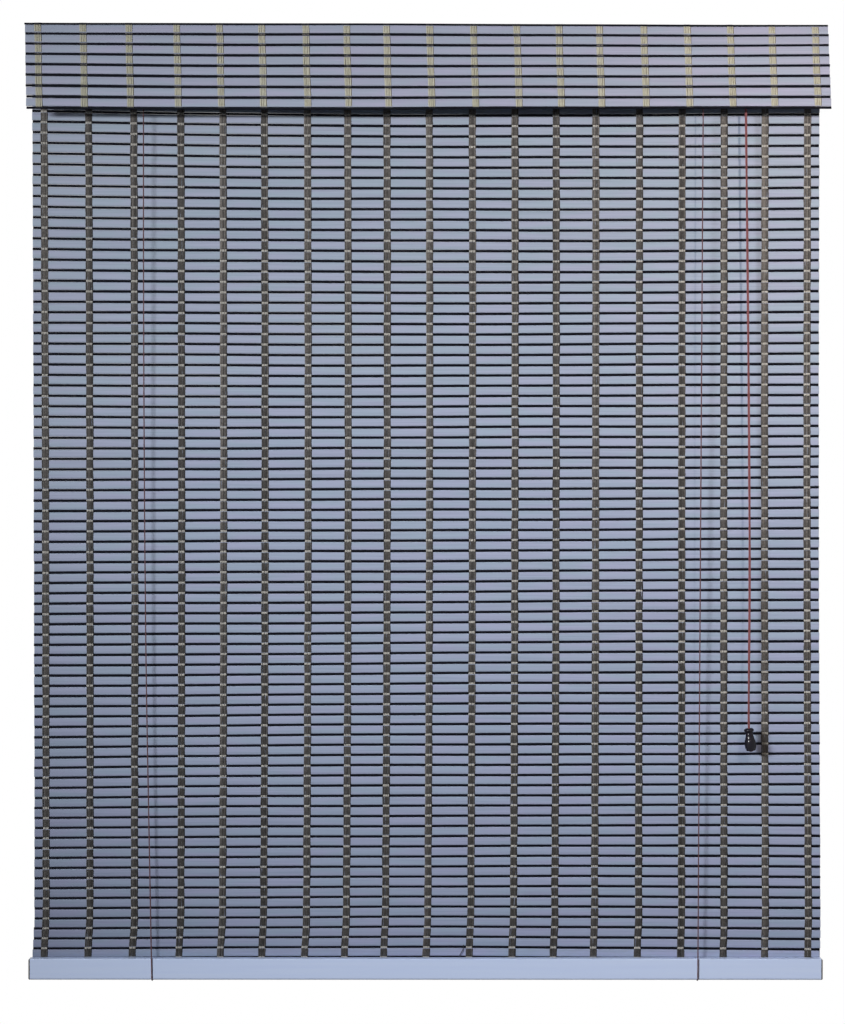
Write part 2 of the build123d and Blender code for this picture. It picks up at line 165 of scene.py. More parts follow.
@dataclass(frozen=True)
class Finish:
    """A finish: its name, how rough it is, and how it is turned into a material."""

    name: str
    roughness: float
    bump_mm: float = 0.1

    def start(self, **values: float) -> tuple[bpy.types.Material, bpy.types.NodeTree, bpy.types.Node]:
        """Makes a material that holds one shader, and sets what is the same all over.

        Args:
            values: shader socket to constant, besides the roughness, with _ for each space.

        Returns:
            The material, its tree and its shader node.
        """
        material = bpy.data.materials.new(self.name)
        material.use_nodes = True
        tree = material.node_tree
        shader = tree.nodes["Principled BSDF"]
        shader.inputs["Roughness"].default_value = self.roughness
        for socket, value in values.items():
            shader.inputs[socket.replace("_", " ")].default_value = value
        return material, tree, shader

    def feed(
        self,
        shader: bpy.types.Node,
        colour: bpy.types.NodeSocket,
        height: bpy.types.NodeSocket,
        strength: float,
    ) -> None:
        """Feeds a shader its colour, and raises the surface along a height.

        Args:
            shader: the material's shader node.
            colour: where the colour comes from.
            height: where the height comes from.
            strength: how much of the relief shows.
        """
        tree = shader.id_data
        relief = {"Strength": strength, "Distance": self.bump_mm * MM}
        bump = add_node(tree, "ShaderNodeBump", relief, {"Height": height})
        tree.links.new(colour, shader.inputs["Base Color"])
        tree.links.new(bump.outputs["Normal"], shader.inputs["Normal"])

    def make(self) -> bpy.types.Material:
        """Builds the material; each finish has its own."""
        raise NotImplementedError


@dataclass(frozen=True)
class PaintedSlat(Finish):
    """Split bamboo under a thin flat paint: pale blue-grey that drifts to lilac, with fine streaks
    along each slat where the fibre shows through, and a tone of its own on every slat. The paint is
    given a little less blue towards the top of the cloth."""

    hues: Stops = ((0.36, "9BABC6"), (0.5, "9EAAC8"), (0.64, "A1A9CA"))
    grain: Stops = ((0.3, "EDEDEF"), (0.52, "F9F9F9"), (0.72, "FFFFFF"))
    top_blue_loss: float = 0.0
    top_blue_loss_drop_mm: float = 1200.0
    streak_long_mm: float = 90.0
    streak_fine_mm: float = 1.6
    drift_mm: float = 70.0
    drift_row_mm: float = 11.0
    bump_mm: float = 0.12

    def make(self) -> bpy.types.Material:
        """Streak noise stretched along X colours the paint, a slower noise that changes from slat to
        slat picks its hue, and slat tone scales it."""
        material, tree, shader = self.start(Specular_IOR_Level=0.3)
        place = add_node(tree, "ShaderNodeTexCoord")
        long_scale = per_metre(self.streak_long_mm)
        fine_scale = per_metre(self.streak_fine_mm)
        stretch = add_node(
            tree,
            "ShaderNodeMapping",
            {"Scale": (long_scale, fine_scale, fine_scale)},
            {"Vector": place.outputs["Object"]},
        )
        streak = add_node(
            tree,
            "ShaderNodeTexNoise",
            {"Scale": 1.0, "Detail": 5.0, "Roughness": 0.6},
            {"Vector": stretch.outputs["Vector"]},
        )
        drift_scale = per_metre(self.drift_mm)
        drift_place = add_node(
            tree,
            "ShaderNodeMapping",
            {"Scale": (drift_scale, drift_scale, per_metre(self.drift_row_mm))},
            {"Vector": place.outputs["Object"]},
        )
        drift = add_node(
            tree,
            "ShaderNodeTexNoise",
            {"Scale": 1.0, "Detail": 2.0},
            {"Vector": drift_place.outputs["Vector"]},
        )
        hue = add_node(tree, "ShaderNodeValToRGB", None, {"Fac": drift.outputs["Fac"]})
        set_ramp(hue, self.hues)
        grain = add_node(tree, "ShaderNodeValToRGB", None, {"Fac": streak.outputs["Fac"]})
        set_ramp(grain, self.grain)
        streaked = add_node(
            tree,
            "ShaderNodeMix",
            {"Factor": 1.0},
            {"A": hue.outputs["Color"], "B": grain.outputs["Color"]},
            data_type="RGBA",
            blend_type="MULTIPLY",
        )
        if self.top_blue_loss:
            streaked = self.lessen_top_blue(tree, place, streaked)
        tone = add_node(tree, "ShaderNodeAttribute", attribute_name="tone")
        toned = add_node(
            tree,
            "ShaderNodeVectorMath",
            None,
            {0: streaked.outputs["Result"], 3: tone.outputs["Fac"]},
            operation="SCALE",
        )
        self.feed(shader, toned.outputs["Vector"], streak.outputs["Fac"], strength=0.5)
        return material

    def lessen_top_blue(
        self, tree: bpy.types.NodeTree, place: bpy.types.Node, colour: bpy.types.Node
    ) -> bpy.types.Node:
        """Takes some of the blue away, evenly from none at the foot to all of the share at the top.

        Args:
            tree: the material's node tree.
            place: its coordinates.
            colour: the mix node that gives the streaked paint.

        Returns:
            The mix node that gives the paint with less blue.
        """
        apart = add_node(tree, "ShaderNodeSeparateXYZ", None, {"Vector": place.outputs["Object"]})
        height = add_node(
            tree,
            "ShaderNodeMapRange",
            {"From Min": -self.top_blue_loss_drop_mm * MM, "From Max": 0.0},
            {"Value": apart.outputs["Z"]},
        )
        return add_node(
            tree,
            "ShaderNodeMix",
            {"B": (1.0, 1.0, 1.0 - self.top_blue_loss, 1.0)},
            {"Factor": height.outputs["Result"], "A": colour.outputs["Result"]},
            data_type="RGBA",
            blend_type="MULTIPLY",
        )


@dataclass(frozen=True)
class StreakedFinish(Finish):
    """A surface whose grain runs along X: tones in long streaks, and a slight relief."""

    stops: Stops = ()
    grain_long_mm: float = 60.0
    grain_fine_mm: float = 1.5
    coat: float = 0.0
    coat_roughness: float = 0.2
    specular: float = 0.5
    # Painted shade: beyond this distance from the middle the surface is painted dark
    shaded_end_mm: float = 0.0
    end_shade_colour: str = "4E4B47"

    def make(self) -> bpy.types.Material:
        """Stretched noise picks the tone and lifts the grain."""
        material, tree, shader = self.start(
            Coat_Weight=self.coat,
            Coat_Roughness=self.coat_roughness,
            Specular_IOR_Level=self.specular,
        )
        place = add_node(tree, "ShaderNodeTexCoord")
        fine = per_metre(self.grain_fine_mm)
        stretch = add_node(
            tree,
            "ShaderNodeMapping",
            {"Scale": (per_metre(self.grain_long_mm), fine, fine)},
            {"Vector": place.outputs["Object"]},
        )
        grain = add_node(
            tree,
            "ShaderNodeTexNoise",
            {"Scale": 1.0, "Detail": 4.0, "Roughness": 0.55, "Distortion": 0.3},
            {"Vector": stretch.outputs["Vector"]},
        )
        tone = add_node(tree, "ShaderNodeValToRGB", None, {"Fac": grain.outputs["Fac"]})
        set_ramp(tone, self.stops)
        colour = tone.outputs["Color"]
        # Painted shade: a thin dark band at each end of the rail
        if self.shaded_end_mm:
            colour = self.shade_ends(tree, place, colour)
        self.feed(shader, colour, grain.outputs["Fac"], strength=0.4)
        return material

    def shade_ends(
        self, tree: bpy.types.NodeTree, place: bpy.types.Node, colour: bpy.types.NodeSocket
    ) -> bpy.types.NodeSocket:
        """Paints shade on the ends: dark where the distance from the middle passes a length.

        Args:
            tree: the material's node tree.
            place: its coordinates.
            colour: the colour elsewhere.

        Returns:
            The colour with painted shade at the ends.
        """
        apart = add_node(tree, "ShaderNodeSeparateXYZ", None, {"Vector": place.outputs["Object"]})
        out = add_node(tree, "ShaderNodeMath", None, {0: apart.outputs["X"]}, operation="ABSOLUTE")
        beyond = add_node(
            tree,
            "ShaderNodeMath",
            {1: self.shaded_end_mm * MM},
            {0: out.outputs["Value"]},
            operation="GREATER_THAN",
        )
        both = add_node(
            tree,
            "ShaderNodeMix",
            {"B": linear(self.end_shade_colour)},
            {"Factor": beyond.outputs["Value"], "A": colour},
            data_type="RGBA",
        )
        return both.outputs["Result"]


@dataclass(frozen=True)
class SpunYarn(Finish):
    """Soft spun cotton: matt and slightly fuzzy, each strand a little different in tone, with
    slanting ridges of twist. The twist is drawn coarser than life so that it shows."""

    stops: Stops = ()
    twist_mm: float = 1.4
    twist_slant: float = math.radians(35.0)
    fleck_mm: float = 2.5
    fleck_share: float = 0.4
    bump_mm: float = 0.25

    def make(self) -> bpy.types.Material:
        """Strand tone and flecks pick the colour, and a slanting wave gives the twist."""
        material, tree, shader = self.start(
            Sheen_Weight=0.25, Sheen_Roughness=0.6, Specular_IOR_Level=0.2
        )
        place = add_node(tree, "ShaderNodeTexCoord")
        tone = add_node(tree, "ShaderNodeAttribute", attribute_name="tone")
        fleck = add_node(
            tree,
            "ShaderNodeTexNoise",
            {"Scale": per_metre(self.fleck_mm), "Detail": 2.0},
            {"Vector": place.outputs["Object"]},
        )
        sum_tone = add_node(
            tree,
            "ShaderNodeMath",
            {1: self.fleck_share},
            {0: fleck.outputs["Fac"], 2: tone.outputs["Fac"]},
            operation="MULTIPLY_ADD",
        )
        shade = add_node(tree, "ShaderNodeValToRGB", None, {"Fac": sum_tone.outputs["Value"]})
        set_ramp(shade, self.stops)
        slant = add_node(
            tree,
            "ShaderNodeMapping",
            {"Rotation": (0.0, self.twist_slant, 0.0)},
            {"Vector": place.outputs["Object"]},
        )
        twist = add_node(
            tree,
            "ShaderNodeTexWave",
            {"Scale": per_metre(self.twist_mm) / (2 * math.pi), "Distortion": 1.5},
            {"Vector": slant.outputs["Vector"]},
            bands_direction="Z",
        )
        self.feed(shader, shade.outputs["Color"], twist.outputs["Fac"], strength=0.6)
        return material


@dataclass(frozen=True)
class BraidedCord(Finish):
    """Polyester braid: small slanting lozenges that cross, each dark at its edge. The piece's UV
    map is in millimetres round and along the cord, so the braid closes round it."""

    light: str = "8A4A4E"
    dark: str = "45242A"
    lozenge_mm: float = 1.178
    bump_mm: float = 0.2

    def make(self) -> bpy.types.Material:
        """Two crossed sine waves multiply into lozenges, half the product plus a half, that colour
        and raise the braid."""
        material, tree, shader = self.start(Sheen_Weight=0.2, Sheen_Roughness=0.5)
        place = add_node(tree, "ShaderNodeUVMap", uv_map="run")
        apart = add_node(tree, "ShaderNodeSeparateXYZ", None, {"Vector": place.outputs["UV"]})
        around, along = apart.outputs["X"], apart.outputs["Y"]
        waves = []
        for operation in ("ADD", "SUBTRACT"):
            slant = add_node(tree, "ShaderNodeMath", None, {0: around, 1: along}, operation=operation)
            turns = add_node(
                tree,
                "ShaderNodeMath",
                {1: 2 * math.pi / self.lozenge_mm},
                {0: slant.outputs["Value"]},
                operation="MULTIPLY",
            )
            waves.append(
                add_node(tree, "ShaderNodeMath", None, {0: turns.outputs["Value"]}, operation="SINE")
            )
        crossed = add_node(
            tree,
            "ShaderNodeMath",
            None,
            {0: waves[0].outputs["Value"], 1: waves[1].outputs["Value"]},
            operation="MULTIPLY",
        )
        lift = add_node(
            tree,
            "ShaderNodeMath",
            {1: 0.5, 2: 0.5},
            {0: crossed.outputs["Value"]},
            operation="MULTIPLY_ADD",
        )
        shade = add_node(tree, "ShaderNodeValToRGB", None, {"Fac": lift.outputs["Value"]})
        set_ramp(shade, ((0.1, self.dark), (0.6, self.light)))
        self.feed(shader, shade.outputs["Color"], lift.outputs["Value"], strength=0.5)
        return material


@dataclass(frozen=True)
class MottledFinish(Finish):
    """A metal or plastic with fine mottling: plated steel, drawn brass or moulded nylon."""

    stops: Stops = ()
    metallic: float = 0.0
    mottle_mm: float = 3.0
    bump_mm: float = 0.03
    rough_range: tuple[float, float] = (0.3, 0.5)

    def make(self) -> bpy.types.Material:
        """Fine noise picks the tone and moves the roughness between two values."""
        material, tree, shader = self.start(Metallic=self.metallic)
        place = add_node(tree, "ShaderNodeTexCoord")
        mottle = add_node(
            tree,
            "ShaderNodeTexNoise",
            {"Scale": per_metre(self.mottle_mm), "Detail": 4.0},
            {"Vector": place.outputs["Object"]},
        )
        tone = add_node(tree, "ShaderNodeValToRGB", None, {"Fac": mottle.outputs["Fac"]})
        set_ramp(tone, self.stops)
        rough = add_node(
            tree,
            "ShaderNodeMapRange",
            {"To Min": self.rough_range[0], "To Max": self.rough_range[1]},
            {"Value": mottle.outputs["Fac"]},
        )
        tree.links.new(rough.outputs["Result"], shader.inputs["Roughness"])
        self.feed(shader, tone.outputs["Color"], mottle.outputs["Fac"], strength=0.3)
        return material


@dataclass
class Palette:
    """Every finish of the blind, each made into a material once."""

    # Split bamboo under flat paint: dull pale blue-grey, faintly lilac, with fibre streaks
    slat: Finish = PaintedSlat("painted_bamboo_slat", 0.55, top_blue_loss=0.12)
    # The same paint on the valance's face: greyer and a little less blue
    valance_slat: Finish = PaintedSlat(
        "painted_bamboo_valance_slat",
        0.55,
        hues=((0.36, "9DA8BC"), (0.5, "A0A7BD"), (0.64, "A3A6BF")),
    )
    # Reed dyed through: near-black with a cold cast and almost no shine
    stick: Finish = StreakedFinish(
        "dyed_reed_stick",
        0.75,
        stops=((0.3, "07080F"), (0.55, "0C0E17"), (0.75, "15161F")),
        grain_long_mm=40.0,
        grain_fine_mm=0.8,
        bump_mm=0.08,
        specular=0.08,
    )
    # Dyed cotton, spun loosely: warm charcoal, painted lighter grey towards the top of the cloth, where
    # more light falls
    dark: Finish = SpunYarn(
        "dark_spun_cotton",
        0.85,
        stops=((0.2, "191817"), (0.6, "413F3E"), (0.84, "5A5755"), (1.0, "77736F")),
    )
    # Undyed cotton: matt straw white, flat where it is drawn over a slat
    cream: Finish = SpunYarn(
        "cream_spun_cotton",
        0.85,
        stops=((0.25, "AFAE9B"), (0.5, "B8B7A7"), (0.8, "C2C0B2")),
        bump_mm=0.1,
    )
    # The same cotton on the screen, bleached to a neutral pale grey
    bleached: Finish = SpunYarn(
        "bleached_spun_cotton",
        0.85,
        stops=((0.25, "B0AEA8"), (0.5, "BAB8B2"), (0.8, "C6C4BF")),
    )
    # Sprayed enamel on a pine batten: light clear blue, satin, with painted shade in a thin dark band at
    # each end
    rail: Finish = StreakedFinish(
        "satin_enamel_on_pine",
        0.38,
        stops=((0.25, "CADBFE"), (0.5, "CDDEFF"), (0.75, "D0E0FF")),
        grain_long_mm=180.0,
        grain_fine_mm=7.0,
        bump_mm=0.15,
        coat=0.15,
        shaded_end_mm=500.7,
    )
    # Planed softwood: warm yellow brown, with grain along the batten
    pine: Finish = StreakedFinish(
        "planed_pine",
        0.6,
        stops=((0.3, "B98F5B"), (0.5, "CDA873"), (0.7, "DCBD8C")),
        grain_long_mm=120.0,
        grain_fine_mm=3.0,
        bump_mm=0.12,
    )
    # Electroplated zinc on pressed steel: pale grey metal with a cloudy shine
    steel: Finish = MottledFinish(
        "zinc_plated_steel",
        0.35,
        stops=((0.3, "A9ABAE"), (0.7, "C4C6C8")),
        metallic=1.0,
        rough_range=(0.28, 0.45),
    )
    # Drawn and knurled brass: yellow metal, a little brighter than the steel
    brass: Finish = MottledFinish(
        "drawn_brass",
        0.3,
        stops=((0.3, "B8924A"), (0.7, "D0AA5E")),
        metallic=1.0,
        rough_range=(0.22, 0.4),
    )
    # Injection-moulded nylon: warm white with a low sheen
    nylon: Finish = MottledFinish(
        "moulded_nylon",
        0.45,
        stops=((0.3, "DDD8CB"), (0.7, "EAE6DB")),
        mottle_mm=5.0,
        rough_range=(0.4, 0.52),
    )
    # Braided polyester: dull maroon, broken up by its lozenges
    cord: Finish = BraidedCord("maroon_polyester_braid", 0.7)
    # The same braid in a darker, duller plum, used on the lift cords
    darker_lift_braid: Finish = BraidedCord("darker_polyester_braid", 0.7, light="5A3036", dark="2E1820")
    # Black lacquer on turned beech: almost black, with one small clear highlight
    lacquer: Finish = StreakedFinish(
        "lacquered_turned_beech",
        0.4,
        stops=((0.3, "0A0812"), (0.55, "0E0B17"), (0.75, "14101C")),
        grain_long_mm=3.0,
        grain_fine_mm=1.2,
        bump_mm=0.02,
        coat=0.36,
        coat_roughness=0.13,
        specular=0.02,
    )
    made: dict[str, bpy.types.Material] = field(default_factory=dict)

    def material(self, finish: Finish) -> bpy.types.Material:
        """Gives a finish's material, made the first time it is asked for."""
        if finish.name not in self.made:
            self.made[finish.name] = finish.make()
        return self.made[finish.name]


def loft(sections: Array, closed: bool = False) -> tuple[Array, Array, Array]:
    """Skins rows of closed sections with quads: corner k of station i joins corner k + 1 and
    station i + 1, and each end is one flat cap unless the stations close on themselves.

    Args:
        sections: places as (tube, station, corner, xyz), turning about the way the stations go.
        closed: joins the last station to the first.

    Returns:
        The vertices, the quads and the caps.
    """
    tubes, stations, corners, _ = sections.shape
    index = np.arange(tubes * stations * corners).reshape(tubes, stations, corners)
    start = index if closed else index[:, :-1]
    end = np.roll(index, -1, axis=1) if closed else index[:, 1:]
    corners_of_quad = [start, np.roll(start, -1, axis=2), np.roll(end, -1, axis=2), end]
    quads = np.stack(corners_of_quad, axis=-1).reshape(-1, 4)
    caps = np.empty((0, corners), int)
    if not closed:
        caps = np.concatenate([index[:, 0, ::-1], index[:, -1, :]])
    return sections.reshape(-1, 3), quads, caps


def make_piece(
    name: str,
    sections: Array,
    material: bpy.types.Material,
    closed: bool = False,
    tone: Array | None = None,
) -> bpy.types.Object:
    """Puts lofted sections into a mesh object, smooth along its sides and flat at its caps.

    Args:
        name: the piece's name.
        sections: places as (tube, station, corner, xyz).
        material: its material.
        closed: the stations close on themselves.
        tone: one value for each (tube, station, corner), kept as an attribute.

    Returns:
        The new object, linked into the scene.
    """
    vertices, quads, caps = loft(sections, closed)
    mesh = bpy.data.meshes.new(name)
    loops = np.concatenate([quads.ravel(), caps.ravel()]).astype(np.int32)
    starts = np.concatenate(
        [np.arange(len(quads)) * 4, quads.size + np.arange(len(caps)) * caps.shape[1]]
    )
    smooth = np.concatenate([np.ones(len(quads), bool), np.zeros(len(caps), bool)])
    mesh.vertices.add(len(vertices))
    mesh.vertices.foreach_set("co", vertices.astype(np.float32).ravel())
    mesh.loops.add(len(loops))
    mesh.loops.foreach_set("vertex_index", loops)
    mesh.polygons.add(len(starts))
    mesh.polygons.foreach_set("loop_start", starts.astype(np.int32))
    mesh.polygons.foreach_set("use_smooth", smooth)
    mesh.update(calc_edges=True)
    if tone is not None:
        layer = mesh.attributes.new("tone", "FLOAT", "POINT")
        layer.data.foreach_set("value", tone.astype(np.float32).ravel())
    mesh.materials.append(material)
    piece = bpy.data.objects.new(name, mesh)
    bpy.context.scene.collection.objects.link(piece)
    log.info("%s: %d vertices, %d faces", name, len(vertices), len(starts))
    return piece


def drill(
    piece: bpy.types.Object, centres: list[Point], radius: float, reach: float, corners: int = 24
) -> None:
    """Drills upright round holes through a piece, and keeps its edges crisp and its tone even.

    Args:
        piece: the piece, whose mesh is changed.
        centres: the middles of the holes.
        radius: their radius.
        reach: how far the drill goes above and below the middles.
        corners: corners round each hole.
    """
    upright = np.array([0.0, 0.0, 1.0])
    profile = np.array([(radius, -reach), (radius, reach)])
    bores = [lathe_sections(profile, np.array(centre), upright, corners) for centre in centres]
    bit = make_piece("drill_bit", np.concatenate(bores), piece.data.materials[0])
    holes = piece.modifiers.new("holes", "BOOLEAN")
    holes.operation = "DIFFERENCE"
    holes.solver = "EXACT"
    holes.object = bit
    graph = bpy.context.evaluated_depsgraph_get()
    solid = piece.data
    piece.data = bpy.data.meshes.new_from_object(piece.evaluated_get(graph))
    piece.modifiers.clear()
    piece.data.set_sharp_from_angle(angle=CRISP_EDGE)
    bpy.data.meshes.remove(solid)
    bpy.data.objects.remove(bit)
    # The bit has no tone, so the holes' own corners come out dark and take the slats' middle tone
    tone = np.empty(len(piece.data.vertices), np.float32)
    layer = piece.data.attributes["tone"].data
    layer.foreach_get("value", tone)
    layer.foreach_set("value", np.where(tone < 0.5, np.median(tone), tone))
    log.info("%s: %d holes", piece.name, len(centres))


def add_run_map(piece: bpy.types.Object, along: Array, girth: float, corners: int) -> None:
    """Adds the UV map that a braid follows: millimetres round the cord and along it.

    Args:
        piece: a piece made of one or more tubes with the same stations.
        along: distance along the cord at each station, as (tube, station).
        girth: distance round the cord.
        corners: corners in each section.
    """
    tubes, stations = along.shape
    step = np.arange(corners)
    around = np.stack([step, step + 1, step + 1, step], axis=-1) * girth / corners
    ends = np.stack([along[:, :-1], along[:, :-1], along[:, 1:], along[:, 1:]], axis=-1)
    full = (tubes, stations - 1, corners, 4)
    uv = np.stack(
        [np.broadcast_to(around, full), np.broadcast_to(ends[:, :, None, :], full)], axis=-1
    )
    caps = np.zeros((2 * tubes * corners, 2))
    layer = piece.data.uv_layers.new(name="run")
    both = np.concatenate([uv.reshape(-1, 2) / MM, caps])
    layer.data.foreach_set("uv", both.astype(np.float32).ravel())


def spline_points(points: list[Point], resolution: int) -> Array:
    """Reads the points of the NURBS spline that has these control points.

    Args:
        points: control points in metres.
        resolution: points for each stretch of the spline.

    Returns:
        Points along the spline, in order.
    """
    curve = bpy.data.curves.new("route", "CURVE")
    curve.dimensions = "3D"
    spline = curve.splines.new("NURBS")
    spline.points.add(len(points) - 1)
    spline.points.foreach_set("co", np.array([(*p, 1.0) for p in points]).ravel())
    spline.order_u = 3
    spline.use_endpoint_u = True
    spline.resolution_u = resolution
    holder = bpy.data.objects.new("route", curve)
    bpy.context.scene.collection.objects.link(holder)
    bpy.context.view_layer.update()
    mesh = bpy.data.meshes.new_from_object(holder)
    places = np.empty(3 * len(mesh.vertices))
    mesh.vertices.foreach_get("co", places)
    bpy.data.objects.remove(holder)
    bpy.data.curves.remove(curve)
    bpy.data.meshes.remove(mesh)
    return places.reshape(-1, 3)


def distances(path: Array) -> Array:
    """Distance along a path at each of its points."""
    steps = np.linalg.norm(np.diff(path, axis=0), axis=1)
    return np.concatenate([[0.0], np.cumsum(steps)])


def path_frames(path: Array, side: Point) -> tuple[Array, Array]:
    """Directions across a path: the first is the side direction made square to the path, the second
    is the path's direction crossed with the first.

    Args:
        path: points in order.
        side: a direction that the path never takes.

    Returns:
        The two directions at each point.
    """
    ahead = np.gradient(path, axis=0)
    ahead /= np.linalg.norm(ahead, axis=1, keepdims=True)
    first = np.array(side) - (ahead @ np.array(side))[:, None] * ahead
    first /= np.linalg.norm(first, axis=1, keepdims=True)
    return first, np.cross(ahead, first)


def tube_sections(path: Array, side: Point, radius: float, corners: int) -> Array:
    """Round sections square to a path: centre plus radius times cosine and sine across it.

    Args:
        path: centre points.
        side: a direction that the path never takes.
        radius: the tube's radius.
        corners: corners in each section.

    Returns:
        Sections of one tube, as (1, station, corner, xyz).
    """
    first, second = path_frames(path, side)
    angle = np.linspace(0, 2 * math.pi, corners, endpoint=False)[None, :, None]
    ring = np.cos(angle) * first[:, None, :] + np.sin(angle) * second[:, None, :]
    return (path[:, None, :] + radius * ring)[None]


def lathe_sections(profile: Array, foot: Array, axis: Array, corners: int) -> Array:
    """Turns a profile about an axis: each profile point (radius, distance along) makes a circle.

    Args:
        profile: points as (radius, distance along the axis), the outside in the axis's direction.
        foot: where the axis starts.
        axis: its unit direction.
        corners: points round it.

    Returns:
        Sections of one piece, as (1, station, corner, xyz).
    """
    helper = np.array([1.0, 0.0, 0.0]) if abs(axis[0]) < 0.5 else np.array([0.0, 1.0, 0.0])
    first = np.cross(axis, helper)
    first /= np.linalg.norm(first)
    second = np.cross(axis, first)
    angle = np.linspace(0, 2 * math.pi, corners, endpoint=False)[:, None]
    ring = np.cos(angle) * first + np.sin(angle) * second
    centre = foot + profile[:, 1:2] * axis
    return (centre[:, None, :] + profile[:, 0][:, None, None] * ring)[None]


def bulge(start: tuple[float, float], end: tuple[float, float], rise: float, count: int) -> Array:
    """A parabola from one profile point to another that swells by rise in radius halfway.

    Args:
        start: first point as (radius, distance).
        end: last point.
        rise: the swell, below zero for a hollow.
        count: points along it.

    Returns:
        The points, the last one left out.
    """
    share = np.linspace(0, 1, count, endpoint=False)[:, None]
    line = np.array(start) * (1 - share) + np.array(end) * share
    line[:, 0] += rise * 4 * share[:, 0] * (1 - share[:, 0])
    return line


@dataclass
class ClothRun:
    """One length of the cloth, measured along its middle plane, with its rows of slats.

    Places are asked for by distance. The outward side is the one that the cream yarn lies on.
    """

    rows: int
    pitch: float
    width: float

    def at(self, distance: Array) -> tuple[Array, Array]:
        """Gives (Y, Z) places and outward (Y, Z) directions at distances along the run."""
        raise NotImplementedError

    def down(self, distance: Array) -> Array:
        """Share of the way down from the fold, 0 to 1, at distances along the run."""
        raise NotImplementedError

    def drift(self, terms: Terms, distance: Array, x: Array) -> Array:
        """A polynomial: each term is millimetres times a power of the share down (its row) times a
        power of the share across (its column).

        Args:
            terms: the terms in millimetres.
            distance: distances along the run.
            x: places across the cloth.

        Returns:
            The drift in metres.
        """
        across = np.broadcast_to(x / self.width, np.broadcast_shapes(np.shape(x), distance.shape))
        share = np.broadcast_to(self.down(distance), across.shape)
        return MM * np.polynomial.polynomial.polyval2d(share, across, np.array(terms))

    def aside(self, distance: Array, x: Array) -> Array:
        """How far the cloth has slipped sideways."""
        raise NotImplementedError

    def sag(self, distance: Array, x: Array) -> Array:
        """How far the rows have moved on along the run."""
        raise NotImplementedError


@dataclass
class ScreenRun(ClothRun):
    """The hanging screen, measured down from the fold at the back of the headrail."""

    plane_y: float = 0.0
    top_z: float = 0.0
    foot_z: float = 0.0
    slip: float = 2.6 * MM
    slip_tilt: tuple[float, float] = (0.75, 0.5)
    eased_rows: float = 4.0
    ease_in: float = 0.03
    aside_terms: Terms = ((-1.4, 0.0, 0.0), (6.6, -11.3, -19.4), (-6.7, 10.7, 36.5))
    sag_terms: Terms = (
        (-1.5, 1.5, -18.3),
        (27.6, -1.4, 43.2),
        (-30.3, -49.2, -27.2),
        (4.1, 50.4, 11.2),
    )

    def at(self, distance: Array) -> tuple[Array, Array]:
        """Straight down from the fold, with the back as its outward side."""
        place = np.stack([np.full_like(distance, self.plane_y), self.top_z - distance], axis=-1)
        outward = np.stack([np.ones_like(distance), np.zeros_like(distance)], axis=-1)
        return place, outward

    def down(self, distance: Array) -> Array:
        """Share of the drop from the fold to the rail."""
        return distance / (self.top_z - self.foot_z)

    def aside(self, distance: Array, x: Array) -> Array:
        """The drift, and a cubic step to the left in the last rows, where the rail holds them. The
        step falls evenly from the left edge to the right."""
        rows_up = (self.top_z - distance - self.foot_z) / self.pitch
        share = np.clip(1 - rows_up / self.eased_rows, 0.0, 1.0)
        middle, fall = self.slip_tilt
        step = self.slip * share * share * (3 - 2 * share) * (middle - fall * x / self.width)
        return self.drift(self.aside_terms, distance, x) - step

    def sag(self, distance: Array, x: Array) -> Array:
        """The cloth's weight draws the upper rows apart: the drift, eased in below the fold and out
        behind the rail."""
        drop = self.top_z - self.foot_z
        eased = 1 - np.exp(-self.down(distance) / self.ease_in)
        held = np.clip((distance - drop) / (self.rows * self.pitch - drop), 0.0, 1.0)
        above = np.minimum(distance, drop)
        return eased * (1 - held) * self.drift(self.sag_terms, above, x)


@dataclass
class ValanceRun(ClothRun):
    """The valance and the top, measured up from the valance's foot and back over the headrail."""

    fold_y: float = 0.0
    fold_z: float = 0.0
    drop_rows: int = 8
    flare: float = 0.0
    corner: float = 2.5 * MM
    aside_terms: Terms = ((-1.1, 0.0), (3.2, 0.0))
    sag_terms: Terms = ((0.0, 0.0, 0.0), (1.2, -1.7, -31.1), (0.0, -2.0, 28.7))

    def at(self, distance: Array) -> tuple[Array, Array]:
        """Up the flared drop, then level; the outward side turns smoothly at the corner."""
        before = self.drop_rows * self.pitch - distance
        down = np.maximum(before, 0.0)
        back = np.maximum(-before, 0.0)
        place = np.stack(
            [self.fold_y - down * math.sin(self.flare) + back, self.fold_z - down * math.cos(self.flare)],
            axis=-1,
        )
        share = np.clip(0.5 - before / (2 * self.corner), 0.0, 1.0)[..., None]
        front = np.array([-math.cos(self.flare), math.sin(self.flare)])
        outward = front * (1 - share) + np.array([0.0, 1.0]) * share
        outward /= np.linalg.norm(outward, axis=-1, keepdims=True)
        return place, outward

    def down(self, distance: Array) -> Array:
        """Share of the drop from the fold to the valance's foot, 0 on the level top."""
        return np.maximum(1 - distance / (self.drop_rows * self.pitch), 0.0)

    def aside(self, distance: Array, x: Array) -> Array:
        """The drop hangs a little askew: further to the right the lower it is."""
        return self.drift(self.aside_terms, distance, x)

    def sag(self, distance: Array, x: Array) -> Array:
        """The drop's rows sink unevenly; the run goes up, so sinking is a step back."""
        return -self.drift(self.sag_terms, distance, x)


@dataclass(frozen=True)
class YarnColumn:
    """Strands of one colour in every column: which side of the slats they lie on, and how wide and
    thick they are over a slat, between, and over a stick. A stitch over a stick is half so long on
    its top, goes through the cloth so far from the stick's middle, and lies on the slat from there;
    a top of zero makes a pointed stitch. Strands differ in tone by up to own_tone, and their tone is
    raised towards the top of the cloth as painted light, where more light falls."""

    strands: int
    side: float
    spread: float
    over_slat: tuple[float, float]
    between: tuple[float, float]
    over_stick: tuple[float, float]
    stitch: tuple[float, float, float]
    own_tone: float
    # Painted light: how much lighter the strands are at the top of the cloth
    fade: float


